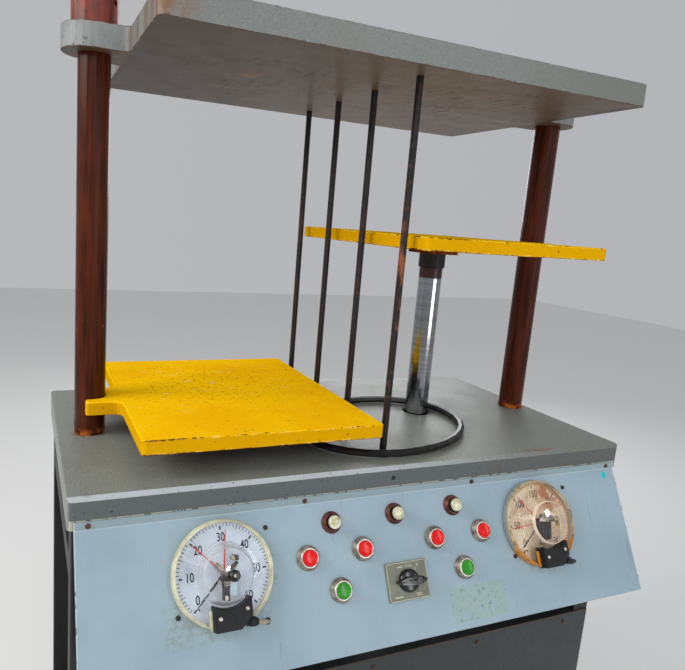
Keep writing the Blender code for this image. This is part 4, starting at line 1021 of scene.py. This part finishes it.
# Lamps, buttons and selector
def make_lamp(index, paints):
    def part(name, bm, material, **more):
        piece("%s_%d" % (name, index + 1), bm, paints[material], "frame", on_panel(*LAMPS[index]),
              34, "lamp_lens", **more)

    part("lamp_ring", turned([(0, -32), (10.5, -32), (10.5, 0.3), (18, 0.3), (18, 2.4),
                              (17.2, 3.6), (15.8, 4.2), (14.8, 6.2), (13.4, 8.2), (12.6, 8),
                              (12, 5), (0, 5)], steps=56),
         "lamp_ring", stands_for="lamp_%d" % (index + 1))
    part("lamp_holder", turned([(0, 5), (11.6, 5), (11.6, 12.6), (11.1, 13.4), (0, 13.4)]),
         "black")
    part("lamp_cap", turned([(0, 12.8), (10.9, 12.8), (10.9, 16.2), (10.3, 17.4), (9, 18.2),
                             (7.2, 18.3), (6.6, 17.7), (5.2, 17.9), (4.6, 18.5), (2.6, 18.7),
                             (2, 18), (0, 18.2)]), "lens")


def make_button(index, paints):
    place, n = on_panel(*BUTTONS[index]), index + 1
    ring = turned([(6.4, -32), (10.5, -32), (10.5, 0.3), (20, 0.3), (20, 2.2), (19.2, 3.4),
                   (17, 7.4), (16.2, 9), (15.2, 9.5), (14, 9.4), (13.2, 8.8), (13, 8),
                   (13, 4), (6.4, 4)], True, 64)
    ribs = [spun(bar(17.6, 19.5, -0.55, 0.55, 2, 6.2, 0.25, 1), 9 * i) for i in range(40)]
    piece("button_ring_%d" % n, joined(ring, *ribs), paints["ring"], "frame", place, 30,
          "bezel_metal", "button_bezel_%d" % n)
    trim = turned([(13.05, 9.2), (15.4, 9.45), (15.6, 9.8), (15, 10.4), (13.6, 10.5),
                   (13.05, 10.1)], True, 64)
    piece("button_trim_%d" % n, trim, paints["trim"], "frame", place, 30, "bezel_metal")
    cap = turned([(0, -24), (6, -24), (6, 8.4), (12.6, 8.4), (12.6, 12), (12.2, 12.8),
                  (11.3, 13), (10.2, 12.5), (6, 11.9), (0, 11.7)], steps=64)
    colour = "red" if n <= RED_BUTTONS else "green"
    piece("button_%d" % n, cap, paints[colour], "cap_%d" % n, place, 30, "cap_" + colour,
          "button_cap_%d" % n)


def make_selector(paints):
    place = on_panel(*SELECTOR)
    piece("switch_face", bar(-40, 40, -31, 31, 0.3, 4.2, 1, 3), paints["plate"], "frame", place,
          30, "switch_plate", "switch_plate")
    rim = [bar(*sides, 3.8, 4.7, 0.3)
           for sides in ((-38, 38, 29.2, 30.4), (-38, 38, -30.4, -29.2),
                         (-39.4, -38.2, -29, 29), (38.2, 39.4, -29, 29))]
    marks = [bar(*sides, 4.1, 4.4)
             for sides in ((-18, -8, 22, 24), (4, 10, 22, 24), (20, 23, 21.5, 24.5),
                           (-30, -14, -25, -23), (12, 22, -23, -21.4),
                           (13, 24, -26, -24.6))]
    marks += [spun(bar(-0.8, 0.8, 22, 26, 4.1, 4.4), -a) for a in (0, 45, 90)]
    piece("switch_edge", joined(*rim, *marks), paints["cream"], "frame", place, 30,
          "switch_plate")

    disc = turned([(0, -19), (4, -19), (4, 5.2), (19, 5.2), (19, 8.6), (18.4, 10.8),
                   (17, 12.4), (14.5, 13.3), (0, 13.3)], steps=64)
    grip = flat_shape([(-27.5, -0.8), (-19, -4.6), (-8, -7.4), (8, -7.4), (19, -5.8),
                       (28, -1.4), (29, 0), (28, 1.4), (19, 5.8), (8, 7.4), (-8, 7.4),
                       (-19, 4.6), (-27.5, 0.8)], 13)
    ridge = flat_shape([(-24.5, -0.6), (-8, -2.2), (8, -3), (24, -1), (25, 0), (24, 1),
                        (8, 3), (-8, 2.2), (-24.5, 0.6)], 2.2)
    grip = joined(soften(grip, 2.2, 4), shifted(soften(ridge, 0.9, 3), 0, 0, 12))
    piece("switch_handle", joined(disc, shifted(grip, 0, 0, 8)), paints["black"], "selector",
          place, 40, "knob_black", "switch_knob")
    line = joined(turned([(2.8, 22), (4.8, 22), (4.8, 23.2), (2.8, 23.2)], True, 32),
                  turned([(0, 22), (2.8, 22), (2.8, 22.5), (0, 22.5)], steps=24))
    piece("switch_line", shifted(line, 12, 0, 0), paints["grey"], "selector", place, 40,
          "knob_black")


# Screws and a sticker; these pieces are drawn in the press's own millimetres
def press_piece(name, parts, material, slot):
    piece(name, joined(*parts), material, "frame", Matrix.Translation(-ORIGIN * MM), 38, slot)


def unscaled(place):
    """A place in metres turned back to millimetres of the press."""
    m = place.copy()
    m.translation = place.translation / MM + ORIGIN
    return m


def make_screws(paints):
    """Screws of the panel's top flange, the gauge flanges, the lower front sheet and the skin."""
    upright = Matrix.Rotation(math.pi / 2, 4, "X")

    def screw(size, place, turn):
        head = moved(screw_head(*size), Matrix.Rotation(turn, 4, "Z"))
        return moved(head, place)

    press_piece("flange_screws",
                [screw((4.2, 2.6), Matrix.Translation((x, BEND.y, 807)) @ upright, 0.5 + x)
                 for x in (-516, -172.7, 167.6, 511)], paints["rusty"], "panel_paint")
    press_piece("gauge_screws",
                [screw((3.9, 2.8), unscaled(on_panel(x, s)), x)
                 for x, s in ((-245.5, 28.6), (-393.6, 139), (384.8, 26.4), (236.8, 136.8))],
                paints["dark_screw"], "panel_paint")
    press_piece("lower_screws",
                [screw((4.6, 2.4), Matrix.Translation((x, -281.8, z)) @ upright, turn * x)
                 for x in (-470, -240, 0, 240, 470)
                 for z, turn in ((452, 0.3), (84, 0.7))], paints["rusty"], "lower_paint")
    dot = turned([(0, 0.05), (7, 0.05), (7, 0.3), (6.6, 0.45), (0, 0.45)], steps=40)
    press_piece("round_sticker", [moved(dot, unscaled(on_panel(501, 12.5)))], paints["teal"],
                "panel_paint")

    low, high = (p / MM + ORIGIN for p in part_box("cabinet_skin"))
    margin = 17
    heads = []
    for i, z in enumerate((low.z + margin, (low.z + high.z) / 2, high.z - margin)):
        spots = [(x, high.y, -math.pi / 2, "X") for x in (low.x + margin, high.x - margin)]
        if i != 1:
            spots.append(((low.x + high.x) / 2, high.y, -math.pi / 2, "X"))
        spots += [(x, y, side * math.pi / 2, "Y") for x, side in ((low.x, -1), (high.x, 1))
                  for y in (low.y + margin, high.y - margin)]
        for x, y, out, axis in spots:
            place = Matrix.Translation((x, y, z)) @ Matrix.Rotation(out, 4, axis)
            heads.append(screw((4.8, 2.4), place, 0.8 * i + 0.3))
    press_piece("skin_screws", heads, paints["rusty"], "skin_paint")


# Colours are as read off the object, from 0 to 255
def dress_press():
    """Finishes of the solids that show as they are."""
    dress(table_paint(*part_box("table_top")), "table_top")
    low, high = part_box("crosshead")
    low.x, high.x = (end * MM for end in HEAD_ENDS)
    dress(head_paint(low, high), "crosshead")
    dress(column_paint(TABLE_TOP * MM), "column_left", "column_right")
    dress(nut_paint(), "column_nut_left", "column_nut_right", "foot_nut_left", "foot_nut_right")
    dress(rod_steel(), *["guard_rod_%d" % i for i in range(1, 5)])
    for side in ("left", "right"):
        low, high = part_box("platen_" + side)
        low.z += PAD_HEIGHT * MM
        corner = (low.x + 0.06, low.y) if side == "left" else (low.x, low.y)
        dress(yellow_paint("yellow_paint_" + side, low, high, corner), "platen_" + side)
        dress(ram_chrome(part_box("ram_" + side)[1].z), "ram_" + side)
    dress(rubber("black_collar", (34, 31, 30), (24, 22, 22), 0.5),
          "ram_collar_left", "ram_collar_right")
    dress(rubber("ring_rubber", (27, 24, 23), (16, 15, 15), 0.34), "loose_ring")
    dress(plain_paint("cylinder_paint", (70, 76, 80), (48, 52, 54), (96, 102, 106), 0.45),
          "cylinder_left", "cylinder_right")
    dress(plain_paint("frame_paint", (26, 27, 26), (17, 18, 17), (40, 42, 40), 0.55),
          "cabinet_frame")
    dress(plain_paint("skin_paint", (36, 38, 38), (24, 26, 26), (54, 57, 57), 0.5),
          "cabinet_skin")
    dress(plain_paint("lower_paint", (44, 50, 51), (32, 36, 37), (62, 68, 70), 0.42,
                      *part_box("lower_front_panel")), "lower_front_panel")
    dress(plain_paint("tank_paint", (92, 110, 116), (62, 70, 72), (124, 140, 146), 0.45),
          "oil_tank")
    dress(plain_paint("motor_paint", (62, 88, 104), (40, 56, 66), (92, 116, 130), 0.45), "motor")
    dress(plain_metal("bell_metal", (150, 150, 146), (104, 102, 98), 0.5, 0.7), "pump_bell")
    dress(plain_metal("pipe_steel", (150, 148, 142), (100, 92, 84), 0.36, 0.9,
                      rust=(112, 74, 48)), "pressure_pipe_left", "pressure_pipe_right")
    dress(panel_paint(), "control_panel")
    dress(rubber("cable_beige", (176, 168, 140), (140, 132, 110), 0.5), "gauge_cable_left")
    dress(rubber("cable_black", (40, 38, 36), (26, 25, 25), 0.5), "gauge_cable_right")
    black = moulded("hand_black", (24, 24, 26), (40, 40, 42), 0.45)
    red = moulded("hand_red", (196, 44, 36), (214, 84, 66), 0.45)
    for side in ("left", "right"):
        dress(black, "pointer_" + side)
        dress(red, "limit_low_" + side, "limit_high_" + side)


def dress_panel():
    """New pieces on the panel, and the screws."""
    left, right = (on_panel(*GAUGES[side]) for side in ("left", "right"))
    paints = {
        "box": moulded("box_black", (18, 19, 22), (32, 33, 36), 0.42, 0.3),
        "black": moulded("knob_black", (8, 8, 10), (14, 14, 16), 0.16, 0.6, 140, 0.00001),
        "screw": plain_metal("screw_nickel", (214, 210, 200), (150, 144, 134), 0.32, 0.85),
        "bright": plain_metal("contact_bright", (206, 198, 184), (120, 104, 84), 0.3, 0.85),
        "arm": plain_metal("contact_arm", (50, 42, 40), (24, 22, 22), 0.32, 0.5),
        "plate_metal": plain_metal("contact_plate", (150, 136, 124), (70, 60, 54), 0.3, 0.8,
                                   130),
        "tag": moulded("dial_tag", (186, 206, 222), (206, 220, 230), 0.5),
        "brass": plain_metal("plug_brass", (150, 142, 96), (96, 92, 60), 0.4, 0.7),
        "glass_left": clear_plastic("gauge_plastic", left, (176, 178, 182), 0.65),
        "glass_right": clear_plastic("gauge_plastic_amber", right, (226, 208, 184), 0.75),
        "lens": lamp_glass(),
        "lamp_ring": plain_metal("lamp_brown", (108, 58, 46), (62, 32, 28), 0.42, 0.35, 110),
        "ring": knurl_metal(),
        "trim": plain_metal("trim_light", (214, 206, 198), (170, 158, 148), 0.3, 0.5),
        "red": moulded("cap_red", (226, 8, 2), (214, 6, 2), 0.18, 0.35),
        "green": moulded("cap_green", (40, 140, 24), (62, 156, 44), 0.18, 0.35),
        "plate": moulded("plate_olive", (112, 116, 100), (132, 136, 118), 0.42),
        "cream": moulded("plate_cream", (196, 192, 164), (168, 162, 134), 0.45),
        "grey": moulded("handle_grey", (66, 66, 68), (90, 90, 92), 0.4),
        "rusty": plain_metal("screw_rusty", (96, 66, 52), (52, 38, 32), 0.55, 0.4,
                             rust=(132, 78, 44)),
        "dark_screw": plain_metal("screw_dark", (58, 48, 46), (34, 28, 30), 0.45, 0.5),
        "teal": moulded("sticker_teal", (24, 184, 192), (120, 228, 226), 0.3),
        "ink": moulded("dial_ink", (16, 18, 22), (30, 32, 36), 0.6, 0.2),
        "faded": moulded("dial_ink_faded", (70, 48, 34), (150, 118, 88), 0.6, 0.2),
    }
    make_gauge("left", dial_white(), rim_cream(), paints)
    make_gauge("right", dial_stained(right), rim_amber(right), paints)
    dial_marks("left", ["0", "10", "20", "30", "40", "50", "60"], paints["ink"])
    dial_marks("right", ["0", "50", "100", "150", "200", "250", "300"], paints["faded"])
    for side in ("left", "right"):
        make_window(side, paints)
        make_contacts(side, paints)
    for i in range(len(LAMPS)):
        make_lamp(i, paints)
    for i in range(len(BUTTONS)):
        make_button(i, paints)
    make_selector(paints)
    make_screws(paints)


make_camera()
make_stage()
dress_press()
dress_panel()

bpy.context.scene.view_settings.view_transform = "Standard"
